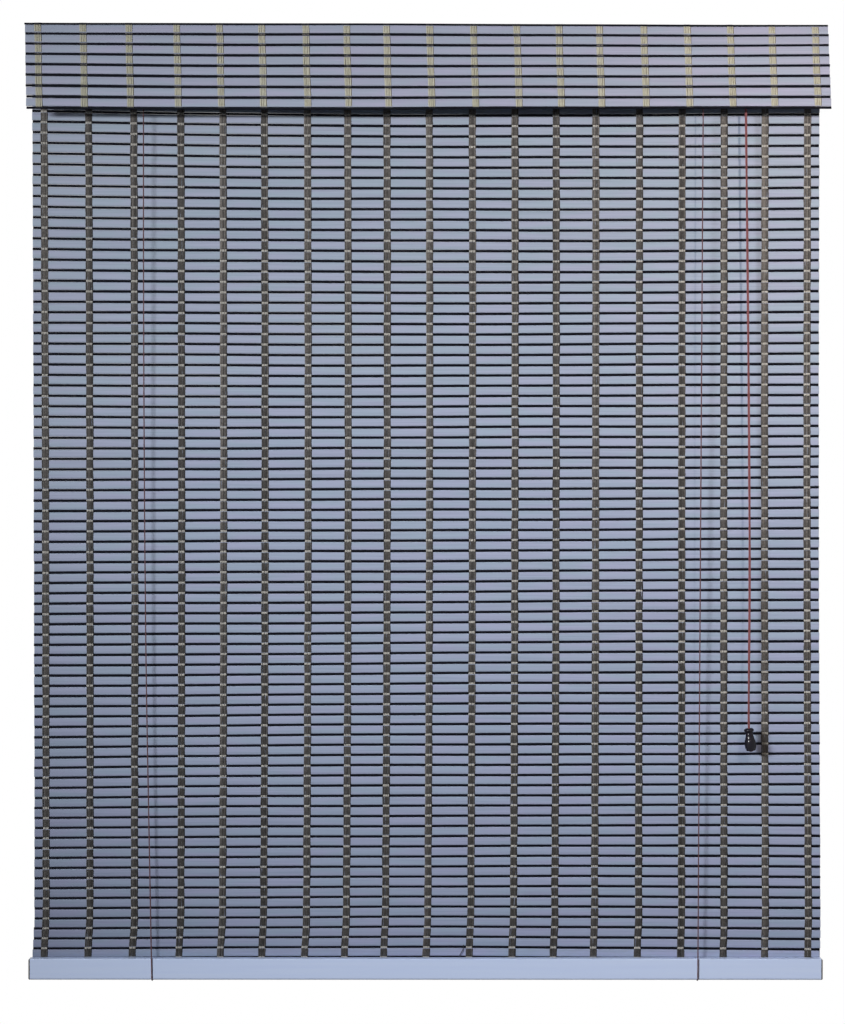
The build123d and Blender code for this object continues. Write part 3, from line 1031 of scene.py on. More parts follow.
@dataclass
class Weave:
    """Slats, sticks and yarn on one length of cloth. A slat's section is given by three cuts from
    its corner, each (off the face, off the edge)."""

    run: ClothRun
    width: float
    seed: int
    slat_height: float = 9.9 * MM
    slat_thickness: float = 1.8 * MM
    slat_flat: tuple[float, float] = (0.04 * MM, 1.4 * MM)
    slat_ease: tuple[float, float] = (0.18 * MM, 0.55 * MM)
    slat_edge: tuple[float, float] = (0.55 * MM, 0.0)
    slat_tone: tuple[float, float] = (0.97, 0.05)
    stick_height: float = 3.2 * MM
    stick_thickness: float = 1.7 * MM
    stick_corners: int = 8
    end_scatter: float = 0.3 * MM
    stick_scatter: float = 0.45 * MM
    end_rim: float = 0.4 * MM
    sway: float = 0.35 * MM
    sway_across: tuple[float, float] = (740.0 * MM, 290.0 * MM)
    sway_along: float = 310.0 * MM
    sway_skew: float = 1.7
    stations: int = 18
    # Painted shade: how much the slats darken towards the lower left and at the left edge
    painted_shade: float = 0.0
    edge_painted_shade: float = 1.3
    strand_wander: float = 0.25 * MM
    strand_wander_length: float = 83.0 * MM
    strand_jitter: float = 0.1 * MM
    strand_swell: float = 0.16
    column_tone: float = 0.2

    def crosswise(self, distance: Array, ring: Array, scatter: float) -> tuple[Array, Array]:
        """Sections of pieces that lie across the cloth, one at each distance along it. A slow sine
        of X and of the distance, and half as much of a quicker one that runs against it, move each
        piece along the cloth, and its ends scatter.

        Args:
            distance: where each piece lies along the cloth.
            ring: its section as (outward, back along the cloth), turning about X.
            scatter: how far its ends may stray.

        Returns:
            The sections, and a share from 0 to 1 for each piece that is its own.
        """
        random = np.random.default_rng(self.seed + len(ring))
        place, outward = self.run.at(distance)
        ahead = np.stack([outward[:, 1], -outward[:, 0]], axis=-1)
        ends = random.uniform(-scatter, scatter, (2, len(distance)))
        rim = self.end_rim / self.width
        inner = np.linspace(0, 1, self.stations)[1:-1]
        share = np.concatenate([[0.0, rim], inner, [1 - rim, 1.0]])
        half = np.full_like(distance, self.width / 2)
        left = ends[0] - half + self.run.aside(distance, -half)
        right = ends[1] + half + self.run.aside(distance, half)
        x = left[:, None] * (1 - share) + right[:, None] * share
        phase = distance[:, None] / self.sway_along
        slow, quick = self.sway_across
        moved = self.sway * np.sin(2 * math.pi * (x / slow + phase))
        moved += 0.5 * self.sway * np.sin(2 * math.pi * (x / quick - self.sway_skew * phase))
        moved += self.run.sag(distance[:, None], x)
        across = ring[:, 0][:, None] * outward[:, None, None, :]
        along = (moved[..., None] - ring[:, 1])[..., None] * ahead[:, None, None, :]
        yz = place[:, None, None, :] + across + along
        full = np.broadcast_to(x[..., None, None], yz.shape[:-1] + (1,))
        own = random.uniform(0, 1, len(distance))
        return np.concatenate([full, yz], axis=-1), own

    def slats(self, name: str, material: bpy.types.Material) -> bpy.types.Object:
        """Makes the slats, each crowned on both faces, with eased edges and a tone of its own. Painted
        shade darkens the lower left, by the fourth power of the share down, and the left edge, by the
        sixth power of the share across, where less light falls."""
        out = self.slat_thickness / 2
        up = self.slat_height / 2
        cuts = (self.slat_flat, self.slat_ease, self.slat_edge)
        flat, ease, edge = ((out - face, up - side) for face, side in cuts)
        half = [(out, 0.0), flat, ease, edge] + [(-a, b) for a, b in (edge, ease, flat)]
        ring = np.array(half + [(-a, -b) for a, b in half])
        rows = (np.arange(self.run.rows) + 0.5) * self.run.pitch
        sections, own = self.crosswise(rows, ring, self.end_scatter)
        down = self.run.down(rows)[:, None, None]
        left = np.clip(0.5 - sections[..., 0] / self.width, 0, 1)
        # Painted shade: darker towards the lower left and the left edge, where less light falls
        shade_share = down**4 * left + self.edge_painted_shade * down * left**6
        least, more = self.slat_tone
        tone = (least + more * own[:, None, None]) * (1 - self.painted_shade * shade_share)
        return make_piece(name, sections, material, tone=tone)

    def sticks(self, name: str, material: bpy.types.Material) -> bpy.types.Object:
        """Makes the sticks, oval in section, one at the head of each slat."""
        angle = np.linspace(0, 2 * math.pi, self.stick_corners, endpoint=False)
        half = np.array([self.stick_thickness, self.stick_height]) / 2
        ring = half * np.stack([np.cos(angle), np.sin(angle)], axis=-1)
        rows = np.arange(self.run.rows) * self.run.pitch
        sections, _ = self.crosswise(rows, ring, self.stick_scatter)
        return make_piece(name, sections, material)

    def yarn(
        self, name: str, column: YarnColumn, xs: Array, material: bpy.types.Material
    ) -> bpy.types.Object:
        """Makes the strands of some columns. Each strand lies on one side over a slat, crosses
        beside the stick and passes the stick on the other side. Its lozenge section changes in
        width and thickness on the way, and a slow sine moves it sideways.

        Args:
            name: the piece's name.
            column: the strands' side and sizes.
            xs: where the columns stand.
            material: the yarn.

        Returns:
            The new object.
        """
        random = np.random.default_rng(self.seed + len(name))
        pitch = self.run.pitch
        top, beside, clear = column.stitch
        slat_out = self.slat_thickness / 2 + column.over_slat[1] / 2
        stick_out = self.stick_thickness / 2 + column.over_stick[1] / 2
        stations = [
            (0.0, -stick_out, column.over_stick),
            (beside, 0.0, column.between),
            (clear, slat_out, column.over_slat),
            (pitch - clear, slat_out, column.over_slat),
            (pitch - beside, 0.0, column.between),
        ]
        if top:
            stations[0] = (top, -stick_out, column.over_stick)
            stations.append((pitch - top, -stick_out, column.over_stick))
        steps = np.array([step for step, _, _ in stations])
        offsets = column.side * np.array([off for _, off, _ in stations])
        sizes = np.array([size for _, _, size in stations])
        rows = np.arange(self.run.rows)
        distance = (rows[:, None] * pitch + steps).ravel()
        offset = np.tile(offsets, self.run.rows)
        width = np.tile(sizes[:, 0], self.run.rows)
        thick = np.tile(sizes[:, 1], self.run.rows)
        strand = (np.arange(column.strands) - (column.strands - 1) / 2) * column.spread
        base = (xs[:, None] + strand).reshape(-1, 1)
        count = len(base)
        phase = random.uniform(0, 1, (count, 1))
        turns = distance / self.strand_wander_length + phase
        wander = self.strand_wander * np.sin(2 * math.pi * turns)
        wander += random.normal(0, self.strand_jitter, (count, len(distance)))
        x = base + wander + self.run.aside(distance, base)
        place, outward = self.run.at(distance + self.run.sag(distance, base))
        centre = place + offset[:, None] * outward
        swell = 1 + self.strand_swell * random.uniform(-1, 1, (count, len(distance)))
        corner = np.array([(0.5, 0.0), (0.0, -0.5), (-0.5, 0.0), (0.0, 0.5)])
        side = width[None, :, None] * swell[..., None] * corner[:, 0]
        depth = thick[None, :, None] * corner[:, 1]
        yz = centre[:, :, None, :] + depth[..., None] * outward[:, :, None, :]
        sections = np.concatenate([(x[..., None] + side)[..., None], yz], axis=-1)
        of_column = np.repeat(random.uniform(0, self.column_tone, len(xs)), column.strands)
        own = (of_column + random.uniform(0, column.own_tone, count))[:, None]
        # Painted light: the tone rises towards the top of the cloth, where more light falls
        tone = own + column.fade * (1 - self.run.down(distance))
        tone = np.broadcast_to(tone[..., None], sections.shape[:-1])
        return make_piece(name, sections, material, tone=tone)


@dataclass
class Cloth:
    """The whole cloth: the screen, made as it hangs at rest, and the fold with the valance."""

    palette: Palette
    width: float = 1000.0 * MM
    pitch: float = 13.05 * MM
    screen_rows: int = 92
    valance_rows: int = 8
    valance_extra: float = 2.4 * MM
    top_rows: int = 3
    flare: float = math.radians(3.0)
    half_slat: float = 0.9 * MM
    screen_seed: int = 11
    valance_seed: int = 47
    # Painted shade on the screen's slats, towards its lower left and its left edge
    screen_painted_shade: float = 0.14
    mount_x: float = 460.0 * MM
    mount_radius: float = 2.5 * MM
    mount_reach: float = 5.0 * MM
    tack_gaps: tuple[int, ...] = (0, 3, 6, 9, 12, 14, 17)
    tack_head: tuple[float, float] = (3.4 * MM, 1.1 * MM)
    tack_dome: float = 0.48 * math.pi
    tack_clear: float = 0.02 * MM
    tack_stations: int = 8
    tack_corners: int = 20
    rail_tack_row: int = 90
    loose_end: Route = (
        (47.6, 17.6, -1159.0),
        (47.4, 16.9, -1164.0),
        (44.8, 16.7, -1169.0),
        (42.6, 17.2, -1172.5),
    )
    loose_radius: float = 0.45 * MM
    loose_tone: float = 0.1
    column_shares: tuple[float, ...] = (
        0.0149, 0.0713, 0.1284, 0.1880, 0.2414, 0.2940, 0.3488, 0.3997, 0.4495, 0.5034,
        0.5580, 0.6122, 0.6646, 0.7150, 0.7706, 0.8249, 0.8785, 0.9306, 0.9847,
    )
    dark: YarnColumn = YarnColumn(
        strands=5,
        side=-1.0,
        spread=1.75 * MM,
        over_slat=(2.0 * MM, 0.62 * MM),
        between=(1.5 * MM, 0.6 * MM),
        over_stick=(1.5 * MM, 0.5 * MM),
        stitch=(0.0, 1.3 * MM, 2.2 * MM),
        own_tone=0.44,
        # Painted light: the dark yarn is lighter towards the top
        fade=0.34,
    )
    cream: YarnColumn = YarnColumn(
        strands=4,
        side=1.0,
        spread=2.0 * MM,
        over_slat=(2.6 * MM, 0.24 * MM),
        between=(1.6 * MM, 0.5 * MM),
        over_stick=(2.2 * MM, 0.6 * MM),
        stitch=(0.75 * MM, 1.55 * MM, 2.3 * MM),
        own_tone=0.3,
        fade=0.0,
    )

    def build(self) -> list[bpy.types.Object]:
        """Makes both lengths of cloth and ties each piece to what it moves with."""
        low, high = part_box("screen_slats")
        middle_y = (low[1] + high[1]) / 2
        fold_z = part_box("valance_slats")[1][2] - self.half_slat
        xs = (np.array(self.column_shares) - 0.5) * self.width
        rail_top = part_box("bottom_rail")[1][2]
        screen_run = ScreenRun(
            self.screen_rows, self.pitch, self.width, middle_y, fold_z, rail_top
        )
        screen = Weave(screen_run, self.width, self.screen_seed, painted_shade=self.screen_painted_shade)
        valance_run = ValanceRun(
            self.valance_rows + self.top_rows,
            self.pitch,
            self.width,
            -middle_y,
            fold_z,
            self.valance_rows,
            self.flare,
        )
        valance = Weave(valance_run, self.width + self.valance_extra, self.valance_seed)
        pieces = self.dress(screen, "screen", "front", "back", xs, halves=2)
        pieces.append(self.loose_thread())
        for piece in pieces:
            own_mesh(piece)
        pieces += self.dress(valance, "valance", "inner", "outer", xs, halves=1)
        back = high[1] + self.tack_clear
        top_row = fold_z - 0.5 * self.pitch
        rail_row = fold_z - (self.rail_tack_row + 0.5) * self.pitch
        pieces.append(self.tacks("headrail_tacks", xs, back, top_row, Body.FIXED))
        pieces.append(self.tacks("rail_tacks", xs, back, rail_row, Body.RAIL))
        return pieces

    def tacks(self, name: str, xs: Array, back: float, z: float, body: Body) -> bpy.types.Object:
        """Presses a row of domed tack heads onto the back of the slats, between columns of yarn.

        Args:
            name: the row's name.
            xs: where the columns stand.
            back: the Y of the slats' back.
            z: how high the row is.
            body: what the row moves with.

        Returns:
            The new piece.
        """
        radius, rise = self.tack_head
        turn = np.linspace(0, self.tack_dome, self.tack_stations)
        dome = np.stack([radius * np.cos(turn), rise * np.sin(turn)], axis=-1)
        middles = (xs[1:] + xs[:-1])[list(self.tack_gaps)] / 2
        feet = [np.array([x, back, z]) for x in middles]
        rearward = np.array([0.0, 1.0, 0.0])
        heads = [lathe_sections(dome, foot, rearward, self.tack_corners) for foot in feet]
        steel = self.palette.material(self.palette.steel)
        row = make_piece(name, np.concatenate(heads), steel)
        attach(row, body.value)
        return row

    def loose_thread(self) -> bpy.types.Object:
        """Lets one end of dark yarn stick out above the rail."""
        path = spline_points(in_metres(self.loose_end), resolution=12)
        sections = tube_sections(path, (0.0, 1.0, 0.0), self.loose_radius, corners=6)
        tone = np.full(sections.shape[:-1], self.loose_tone)
        dark = self.palette.material(self.palette.dark)
        thread = make_piece("loose_dark_thread", sections, dark, tone=tone)
        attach(thread, Body.FIXED.value)
        return thread

    def dress(
        self, weave: Weave, part: str, dark_side: str, cream_side: str, xs: Array, halves: int
    ) -> list[bpy.types.Object]:
        """Makes the pieces of one length, each in the place of its solid.

        Args:
            weave: the length of cloth.
            part: how its solids' names start.
            dark_side: the word for the dark yarn's side in its solid's name.
            cream_side: the same for the cream yarn.
            xs: where the columns stand.
            halves: how many pieces the columns are shared among.

        Returns:
            The new pieces.
        """
        look = self.palette
        made = []
        hung = part == "screen"
        paint = look.slat if hung else look.valance_slat
        pale = look.bleached if hung else look.cream
        slats = weave.slats(f"{part}_painted_slats", look.material(paint))
        if not hung:
            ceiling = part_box("valance_slats")[1][2]
            holes = [(side * self.mount_x, 0.0, ceiling) for side in (-1.0, 1.0)]
            drill(slats, holes, self.mount_radius, self.mount_reach)
        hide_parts(f"{part}_slats")
        sticks = weave.sticks(f"{part}_dark_sticks", look.material(look.stick))
        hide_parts(f"{part}_sticks")
        made += [slats, sticks]
        for number, share in enumerate(np.array_split(xs, halves)):
            dark = weave.yarn(
                f"{part}_dark_yarn_{number}", self.dark, share, look.material(look.dark)
            )
            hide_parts(f"{part}_{dark_side}_threads")
            cream = weave.yarn(
                f"{part}_cream_yarn_{number}", self.cream, share, look.material(pale)
            )
            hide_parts(f"{part}_{cream_side}_threads")
            made += [dark, cream]
        for piece in made:
            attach(piece, Body.FIXED.value)
        return made


@dataclass
class SingleCord:
    """A braided cord on its route: control points in millimetres, repeated from the solids."""

    name: str
    node: str
    route: Route
    length: float
    side: Point
    diameter: float = 1.5 * MM
    corners: int = 10
    resolution: int = 40

    def build(self, material: bpy.types.Material) -> bpy.types.Object:
        """Args:
            material: the braid that the cord is made of.

        Returns:
            The cord.
        """
        control = in_metres(self.route)
        path = spline_points(control, self.resolution)
        sections = tube_sections(path, self.side, self.diameter / 2, self.corners)
        piece = make_piece(self.name, sections, material)
        add_run_map(piece, distances(path)[None], math.pi * self.diameter, self.corners)
        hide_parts(self.node)
        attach(piece, Body.FIXED.value)
        return piece


@dataclass
class Cords:
    """Two lift cords, the two cords along the headrail, and the doubled pull cord."""

    palette: Palette
    lift_length: float = 2346.2 * MM
    left_top_length: float = 774.9 * MM
    right_top_length: float = 70.9 * MM
    pull_length: float = 855.6 * MM
    pull_width: float = 3.0 * MM
    pull_stations: int = 700
    pull_corners: int = 8
    strand: float = 1.5 * MM
    pair_offset: float = 0.75 * MM
    pair_gap: float = 1.6 * MM
    pair_sway: float = 0.6
    pair_sway_length: float = 210.0 * MM
    settle: float = 14.0 * MM
    turn_settle: float = 56.0 * MM
    left_lift: Route = (
        (-357.0, 25.575, -35.8),
        (-346.56, 22.5, -1193.85),
        (-346.5, 22.475, -1202.85),
        (-346.5, 6.925, -1202.85),
        (-346.56, 6.86, -1193.85),
        (-357.6, 2.7, -610.0),
        (-357.0, -1.4, -35.8),
    )
    right_lift: Route = (
        (347.0, 25.575, -35.8),
        (344.02, 22.5, -1193.85),
        (344.0, 22.475, -1202.85),
        (344.0, 6.925, -1202.85),
        (344.02, 6.84, -1193.85),
        (347.0, -4.6, -35.8),
    )
    left_top: Route = (
        (-357.0, -1.4, -35.8),
        (-357.0, -1.4, -30.15),
        (-348.0, -1.4, -30.15),
        (391.0, -1.4, -30.15),
        (400.0, -1.4, -30.15),
        (400.0, -1.4, -47.3),
    )
    right_top: Route = (
        (347.0, -4.6, -35.8),
        (347.0, -4.6, -30.15),
        (356.0, -4.6, -30.15),
        (391.0, -4.6, -30.15),
        (400.0, -4.6, -30.15),
        (400.0, -4.6, -47.3),
    )
    pull: Route = (
        (400.0, -3.0, -47.3),
        (407.5, -3.0, -600.0),
        (405.85, -3.0, -860.0),
        (406.0, -3.0, -881.35),
        (408.25, -3.0, -902.73),
    )

    def build(self) -> list[bpy.types.Object]:
        """Makes every cord, each in its place at rest."""
        along_x = (1.0, 0.0, 0.0)
        along_y = (0.0, 1.0, 0.0)
        lifts = [
            SingleCord("left_lift_braid", "left_lift_cord", self.left_lift, self.lift_length, along_x),
            SingleCord("right_lift_braid", "right_lift_cord", self.right_lift, self.lift_length, along_x),
        ]
        tops = [
            SingleCord("left_top_braid", "left_top_cord", self.left_top, self.left_top_length, along_y),
            SingleCord("right_top_braid", "right_top_cord", self.right_top, self.right_top_length, along_y),
        ]
        made = []
        for cord in lifts:
            piece = cord.build(self.palette.material(self.palette.darker_lift_braid))
            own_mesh(piece)
            made.append(piece)
        braid = self.palette.material(self.palette.cord)
        made += [cord.build(braid) for cord in tops]
        made.append(self.build_pull())
        return made

    def build_pull(self) -> bpy.types.Object:
        """Lays two strands beside the pull cord's spline, half a turn apart. They come out of the
        lock one behind the other, turn a quarter, and then sway by a slow sine as they hang.

        Returns:
            The pull cord.
        """
        control = in_metres(self.pull)
        path = spline_points(control, resolution=60)
        run = distances(path)
        even = np.linspace(0, run[-1], self.pull_stations)
        centre = np.stack([np.interp(even, run, path[:, axis]) for axis in range(3)], axis=-1)
        rearward = (0.0, 1.0, 0.0)
        first, second = path_frames(centre, rearward)
        apart = self.pair_offset + (self.pair_gap - self.pair_offset) * np.exp(-even / self.settle)
        turn = 0.5 * math.pi * (1 - np.exp(-even / self.turn_settle))
        turn += self.pair_sway * np.sin(2 * math.pi * even / self.pair_sway_length)
        strands = []
        for half_turn in (0.0, math.pi):
            angle = (turn + half_turn)[:, None]
            path = centre + apart[:, None] * (np.cos(angle) * first + np.sin(angle) * second)
            strands.append(tube_sections(path, rearward, self.strand / 2, self.pull_corners))
        sections = np.concatenate(strands)
        piece = make_piece("pull_cord_pair", sections, self.palette.material(self.palette.cord))
        along = np.broadcast_to(even, (2, len(even)))
        add_run_map(piece, along, math.pi * self.strand, self.pull_corners)
        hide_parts("pull_cord")
        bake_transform(piece)
        return piece


@dataclass
class Tassel:
    """The turned cord pull and the stop knot in its foot, in millimetres. The waist, belly and rim
    are (radius, depth)."""

    palette: Palette
    top: Point = (406.0, -3.0, -881.35)
    tilt: float = math.radians(6.0)
    bore: float = 1.8
    neck: float = 4.7
    collar_rise: float = 1.5
    collar_height: float = 4.4
    neck_depth: float = 7.0
    waist: tuple[float, float] = (5.7, 12.5)
    belly: tuple[float, float] = (7.2, 20.0)
    rim: tuple[float, float] = (5.6, 28.0)
    rim_ease: tuple[float, float] = (0.25, 0.4)
    neck_hollow: float = 0.25
    waist_hollow: float = 0.2
    recess_radius: float = 3.4
    recess_depth: float = 21.5
    groove: float = 0.28
    groove_width: float = 0.35
    groove_insets: tuple[float, float] = (1.2, 2.6)
    body_stations: int = 40
    corners: int = 56
    knot_radius: float = 2.7
    knot_height: float = 8.2
    knot_ridge: float = 0.2
    knot_ridges: int = 3
    knot_stations: int = 33
    knot_corners: int = 24

    def axis(self) -> Array:
        """Direction down the tassel."""
        return np.array([math.sin(self.tilt), 0.0, -math.cos(self.tilt)])

    def profile(self) -> Array:
        """The turned outline as (radius, depth) in metres: a collar, a neck, a parabola through
        waist, belly and rim, the recess for the knot and the bore, with two fine cut rings."""
        neck_foot = (self.neck, self.neck_depth)
        rim_in, rim_up = self.rim_ease
        depth = np.linspace(self.waist[1], self.rim[1] - rim_up, self.body_stations)
        three = np.array([self.waist, self.belly, self.rim])
        body = np.polyval(np.polyfit(three[:, 1], three[:, 0], 2), depth)
        upper, lower = self.groove_insets
        for ring in (self.waist[1] + upper, self.rim[1] - lower):
            body -= self.groove * np.exp(-(((depth - ring) / self.groove_width) ** 2))
        outline = [
            bulge((self.bore, 0.0), (self.neck, 0.0), 0.0, 3),
            bulge((self.neck, 0.0), (self.neck, self.collar_height), self.collar_rise, 14),
            bulge((self.neck, self.collar_height), neck_foot, -self.neck_hollow, 6),
            bulge(neck_foot, self.waist, -self.waist_hollow, 10),
            np.stack([body, depth], axis=-1),
            bulge((self.rim[0] - rim_in, self.rim[1]), (self.recess_radius, self.rim[1]), 0.0, 3),
            bulge((self.recess_radius, self.rim[1]), (self.recess_radius, self.recess_depth), 0.0, 4),
            bulge((self.recess_radius, self.recess_depth), (self.bore, self.recess_depth), 0.0, 3),
            bulge((self.bore, self.recess_depth), (self.bore, 0.0), 0.0, 6),
        ]
        return np.concatenate(outline) * MM

    def build(self) -> list[bpy.types.Object]:
        """Makes the tassel and its knot, which move together."""
        look = self.palette
        foot = np.array(self.top) * MM
        sections = lathe_sections(self.profile(), foot, self.axis(), self.corners)
        turned = make_piece("tassel_turned", sections, look.material(look.lacquer), closed=True)
        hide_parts("tassel")
        knot_top = foot + self.recess_depth * MM * self.axis()
        share = np.linspace(0, 1, self.knot_stations)
        ridge = 1 - self.knot_ridge + self.knot_ridge * np.abs(np.sin(self.knot_ridges * math.pi * share))
        # A blunt sixth-power end, clipped so that it never closes to a point
        blunt = np.sqrt(np.clip(1 - (2 * share - 1) ** 6, 0.004, 1))
        radius = self.knot_radius * ridge * blunt
        profile = np.stack([radius, self.knot_height * share], axis=-1) * MM
        knot_sections = lathe_sections(profile, knot_top, self.axis(), self.knot_corners)
        knot = make_piece("tassel_stop_knot", knot_sections, look.material(look.cord))
        along = (share * self.knot_height * MM)[None]
        add_run_map(knot, along, 2 * math.pi * self.knot_radius * MM, self.knot_corners)
        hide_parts("tassel_knot")
        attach(turned, Body.TASSEL.value)
        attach(knot, Body.TASSEL.value)
        return [turned, knot]


@dataclass
class CordKnot:
    """A lift cord's knot below its screw eye: turns wound round the cord, and a loop in the eye."""

    palette: Palette
    name: str
    node: str
    eye: str
    turns: float = 6.0
    cord: float = 1.5 * MM
    eye_wire: float = 0.9 * MM
    loop_inside: float = 1.35 * MM
    stations: int = 120
    corners: int = 8

    def build(self) -> bpy.types.Object:
        """Winds a helix down the knot's box, and loops the cord round the foot of the eye's ring."""
        low, high = (np.array(corner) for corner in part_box(self.node))
        middle = (low + high) / 2
        radius = self.cord / 2
        share = np.linspace(0, 1, self.stations)
        angle = 2 * math.pi * self.turns * share
        reach = (high[0] - low[0]) / 2 - radius
        height = high[2] - radius - share * (high[2] - low[2] - self.cord)
        helix = np.stack(
            [middle[0] + reach * np.cos(angle), middle[1] + reach * np.sin(angle), height], axis=-1
        )
        wound = tube_sections(helix, (0.0, 0.0, 1.0), radius, self.corners)
        ring_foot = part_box(self.eye)[0][2] + self.eye_wire
        loop_angle = np.linspace(-0.5 * math.pi, 1.5 * math.pi, self.stations)
        loop_radius = self.loop_inside + radius
        loop = np.stack(
            [
                middle[0] + loop_radius * np.cos(loop_angle),
                np.full_like(loop_angle, middle[1]),
                ring_foot + loop_radius * np.sin(loop_angle),
            ],
            axis=-1,
        )
        looped = tube_sections(loop, (0.0, 1.0, 0.0), radius, self.corners)
        sections = np.concatenate([wound, looped])
        piece = make_piece(self.name, sections, self.palette.material(self.palette.cord))
        along = np.stack([distances(helix), distances(loop)])
        add_run_map(piece, along, math.pi * self.cord, self.corners)
        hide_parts(self.node)
        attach(piece, Body.FIXED.value)
        return piece


@dataclass
class Fittings:
    """The solids that keep their own shape and only take a finish."""

    palette: Palette

    def dress(self) -> None:
        """Puts a finish on every solid that shows as it is."""
        look = self.palette
        finishes = {
            look.pine: ["headrail"],
            look.rail: ["bottom_rail"],
            look.steel: [
                "left_pulley_strap",
                "left_pulley_axle",
                "right_pulley_strap",
                "right_pulley_axle",
                "hardware_screws",
                "lock_housing",
                "lock_guide_axle",
                "left_screw_eye",
                "right_screw_eye",
            ],
            look.nylon: [
                "left_pulley_sheave",
                "right_lift_sheave",
                "right_passing_sheave",
                "lock_guide_roller",
            ],
            look.brass: ["lock_pinch_roller"],
        }
        for finish, nodes in finishes.items():
            for node in nodes:
                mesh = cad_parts[node].data
                mesh.materials.clear()
                mesh.materials.append(look.material(finish))
                log.info("%s: %s", node, finish.name)


@dataclass(frozen=True)
class Lamp:
    """An oval lamp: where it stands and where it points, its power in watts, its linear colour, how
    wide and how high it is, and the full angle to which a grid narrows its beam."""

    name: str
    at: Point
    aim: Point
    power: float
    colour: tuple[float, float, float]
    size: tuple[float, float]
    spread: float

    def build(self) -> None:
        """Stands the lamp."""
        data = bpy.data.lights.new(self.name, "AREA")
        data.shape = "ELLIPSE"
        data.size, data.size_y = self.size
        data.energy = self.power
        data.color = self.colour
        data.spread = self.spread
        lamp = bpy.data.objects.new(self.name, data)
        lamp.location = self.at
        aim = Vector(self.aim) - Vector(self.at)
        lamp.rotation_euler = aim.to_track_quat("-Z", "Y").to_euler()
        bpy.context.scene.collection.objects.link(lamp)


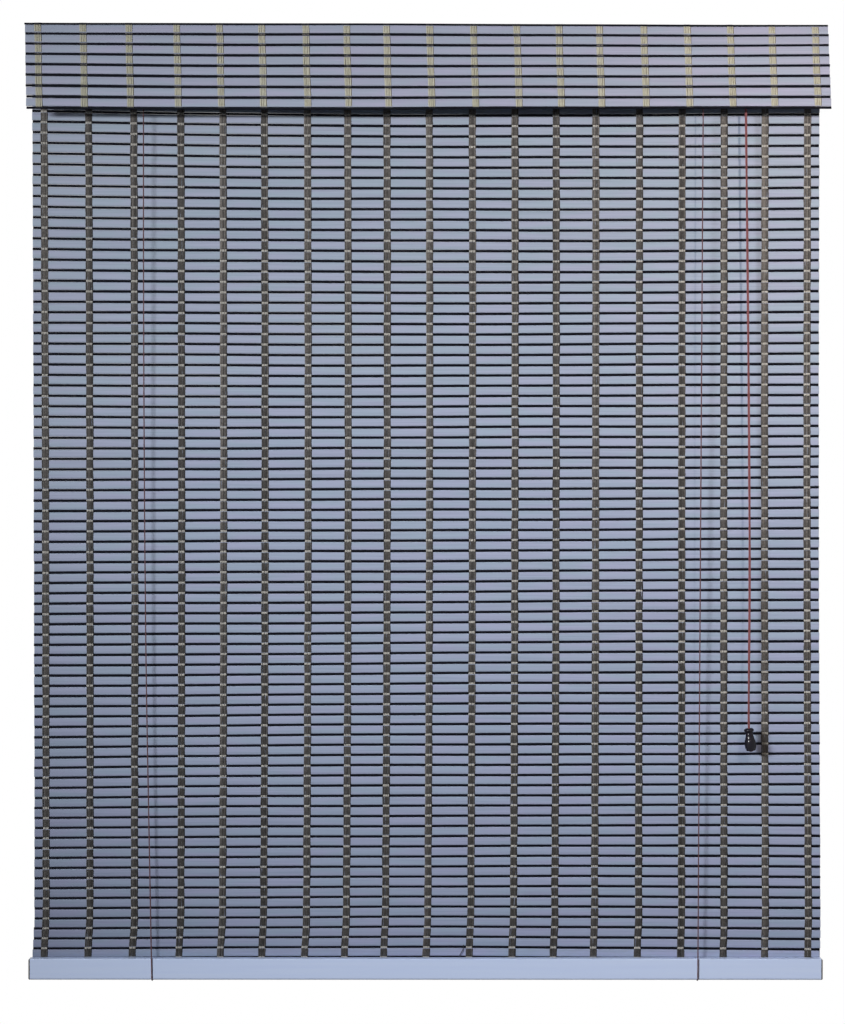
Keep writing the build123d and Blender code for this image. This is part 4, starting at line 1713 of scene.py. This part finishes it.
@dataclass
class Studio:
    """Camera, lamps, world and floor."""

    camera_at: Point = (-0.0177, -2.324, -0.6017)
    camera_aim: Point = (-0.0053, 0.0187, -0.6094)
    camera_roll: float = 0.0016
    lens: float = 64.86
    sensor: float = 36.0
    key: Lamp = Lamp(
        "key_lamp",
        at=(0.62, -1.0, -0.1),
        aim=(1.25, 0.0, -0.01),
        power=7.0,
        colour=(1.0, 0.84, 0.72),
        size=(0.02, 0.02),
        spread=2.868,
    )
    fill: Lamp = Lamp(
        "fill_lamp",
        at=(-1.45, -2.08, -0.1),
        aim=(0.8, 0.0, -0.73),
        power=16.3,
        colour=(1.0, 0.995, 1.0),
        size=(0.8, 0.22),
        spread=1.407,
    )
    back: Lamp = Lamp(
        "back_lamp",
        at=(0.9, 2.2, 1.3),
        aim=(0.0, 0.0, -0.5),
        power=48.0,
        colour=(1.0, 0.985, 0.96),
        size=(1.2, 1.2),
        spread=3.1,
    )
    ambient: float = 0.03
    floor_z: float = -3.2
    floor_radius: float = 1.6
    floor_hub: float = 0.002
    floor_thickness: float = 0.01
    floor_corners: int = 96
    floor_white: float = 0.6

    def camera(self) -> None:
        """Stands the camera where the photograph was taken from."""
        data = bpy.data.cameras.new("camera")
        data.lens = self.lens
        data.sensor_width = self.sensor
        camera = bpy.data.objects.new("camera", data)
        camera.location = self.camera_at
        aim = Vector(self.camera_aim) - Vector(self.camera_at)
        roll = Quaternion((0.0, 0.0, 1.0), self.camera_roll)
        camera.rotation_euler = (aim.to_track_quat("-Z", "Y") @ roll).to_euler()
        bpy.context.scene.collection.objects.link(camera)
        bpy.context.scene.camera = camera

    def world(self) -> None:
        """Lights softly from all round, and shows white to the camera and in reflections."""
        world = bpy.data.worlds.new("studio")
        world.use_nodes = True
        tree = world.node_tree
        tree.nodes.clear()
        seen = add_node(tree, "ShaderNodeLightPath")
        glossy = add_node(
            tree,
            "ShaderNodeMath",
            None,
            {0: seen.outputs["Is Camera Ray"], 1: seen.outputs["Is Glossy Ray"]},
            operation="MAXIMUM",
        )
        shown = add_node(
            tree,
            "ShaderNodeMath",
            None,
            {0: glossy.outputs["Value"], 1: seen.outputs["Is Transmission Ray"]},
            operation="MAXIMUM",
        )
        soft = add_node(
            tree, "ShaderNodeBackground", {"Color": linear("F4F6FA"), "Strength": self.ambient}
        )
        white = add_node(tree, "ShaderNodeBackground", {"Color": linear("FFFFFF"), "Strength": 1.0})
        mixed = add_node(
            tree,
            "ShaderNodeMixShader",
            None,
            {
                0: shown.outputs["Value"],
                1: soft.outputs["Background"],
                2: white.outputs["Background"],
            },
        )
        add_node(tree, "ShaderNodeOutputWorld", None, {"Surface": mixed.outputs["Shader"]})
        bpy.context.scene.world = world

    def floor(self) -> None:
        """Lays a pale matt disc under the blind, whiter to the camera than its shade would be."""
        material = bpy.data.materials.new("pale_matt_floor")
        material.use_nodes = True
        tree = material.node_tree
        shader = tree.nodes["Principled BSDF"]
        shader.inputs["Base Color"].default_value = linear("F2F2F2")
        shader.inputs["Roughness"].default_value = 0.9
        seen = add_node(tree, "ShaderNodeLightPath")
        white = add_node(tree, "ShaderNodeEmission", {"Color": linear("FFFFFF"), "Strength": 1.0})
        share = add_node(
            tree,
            "ShaderNodeMath",
            {1: self.floor_white},
            {0: seen.outputs["Is Camera Ray"]},
            operation="MULTIPLY",
        )
        mixed = add_node(
            tree,
            "ShaderNodeMixShader",
            None,
            {0: share.outputs["Value"], 1: shader.outputs["BSDF"], 2: white.outputs["Emission"]},
        )
        tree.links.new(mixed.outputs["Shader"], tree.nodes["Material Output"].inputs["Surface"])
        edge = self.floor_radius
        profile = np.array([(self.floor_hub, 0.0), (edge, 0.0), (edge, self.floor_thickness)])
        foot = np.array([0.0, 0.0, self.floor_z - self.floor_thickness])
        sections = lathe_sections(profile, foot, np.array([0.0, 0.0, 1.0]), self.floor_corners)
        floor = make_piece("floor", sections, material)

    def build(self) -> None:
        """Sets up everything round the blind."""
        self.camera()
        for lamp in (self.key, self.fill, self.back):
            lamp.build()
        self.world()
        self.floor()
        bpy.context.scene.view_settings.view_transform = "Standard"


def main() -> None:
    """Builds the blind piece by piece, then the studio round it."""
    logging.basicConfig(level=logging.INFO, format="%(name)s %(message)s")
    palette = Palette()
    Tassel(palette).build()
    Cords(palette).build()
    CordKnot(palette, "left_wound_knot", "left_cord_knot", "left_screw_eye").build()
    CordKnot(palette, "right_wound_knot", "right_cord_knot", "right_screw_eye").build()
    Cloth(palette).build()
    Fittings(palette).dress()
    Studio().build()


if __name__ == "__main__":
    main()
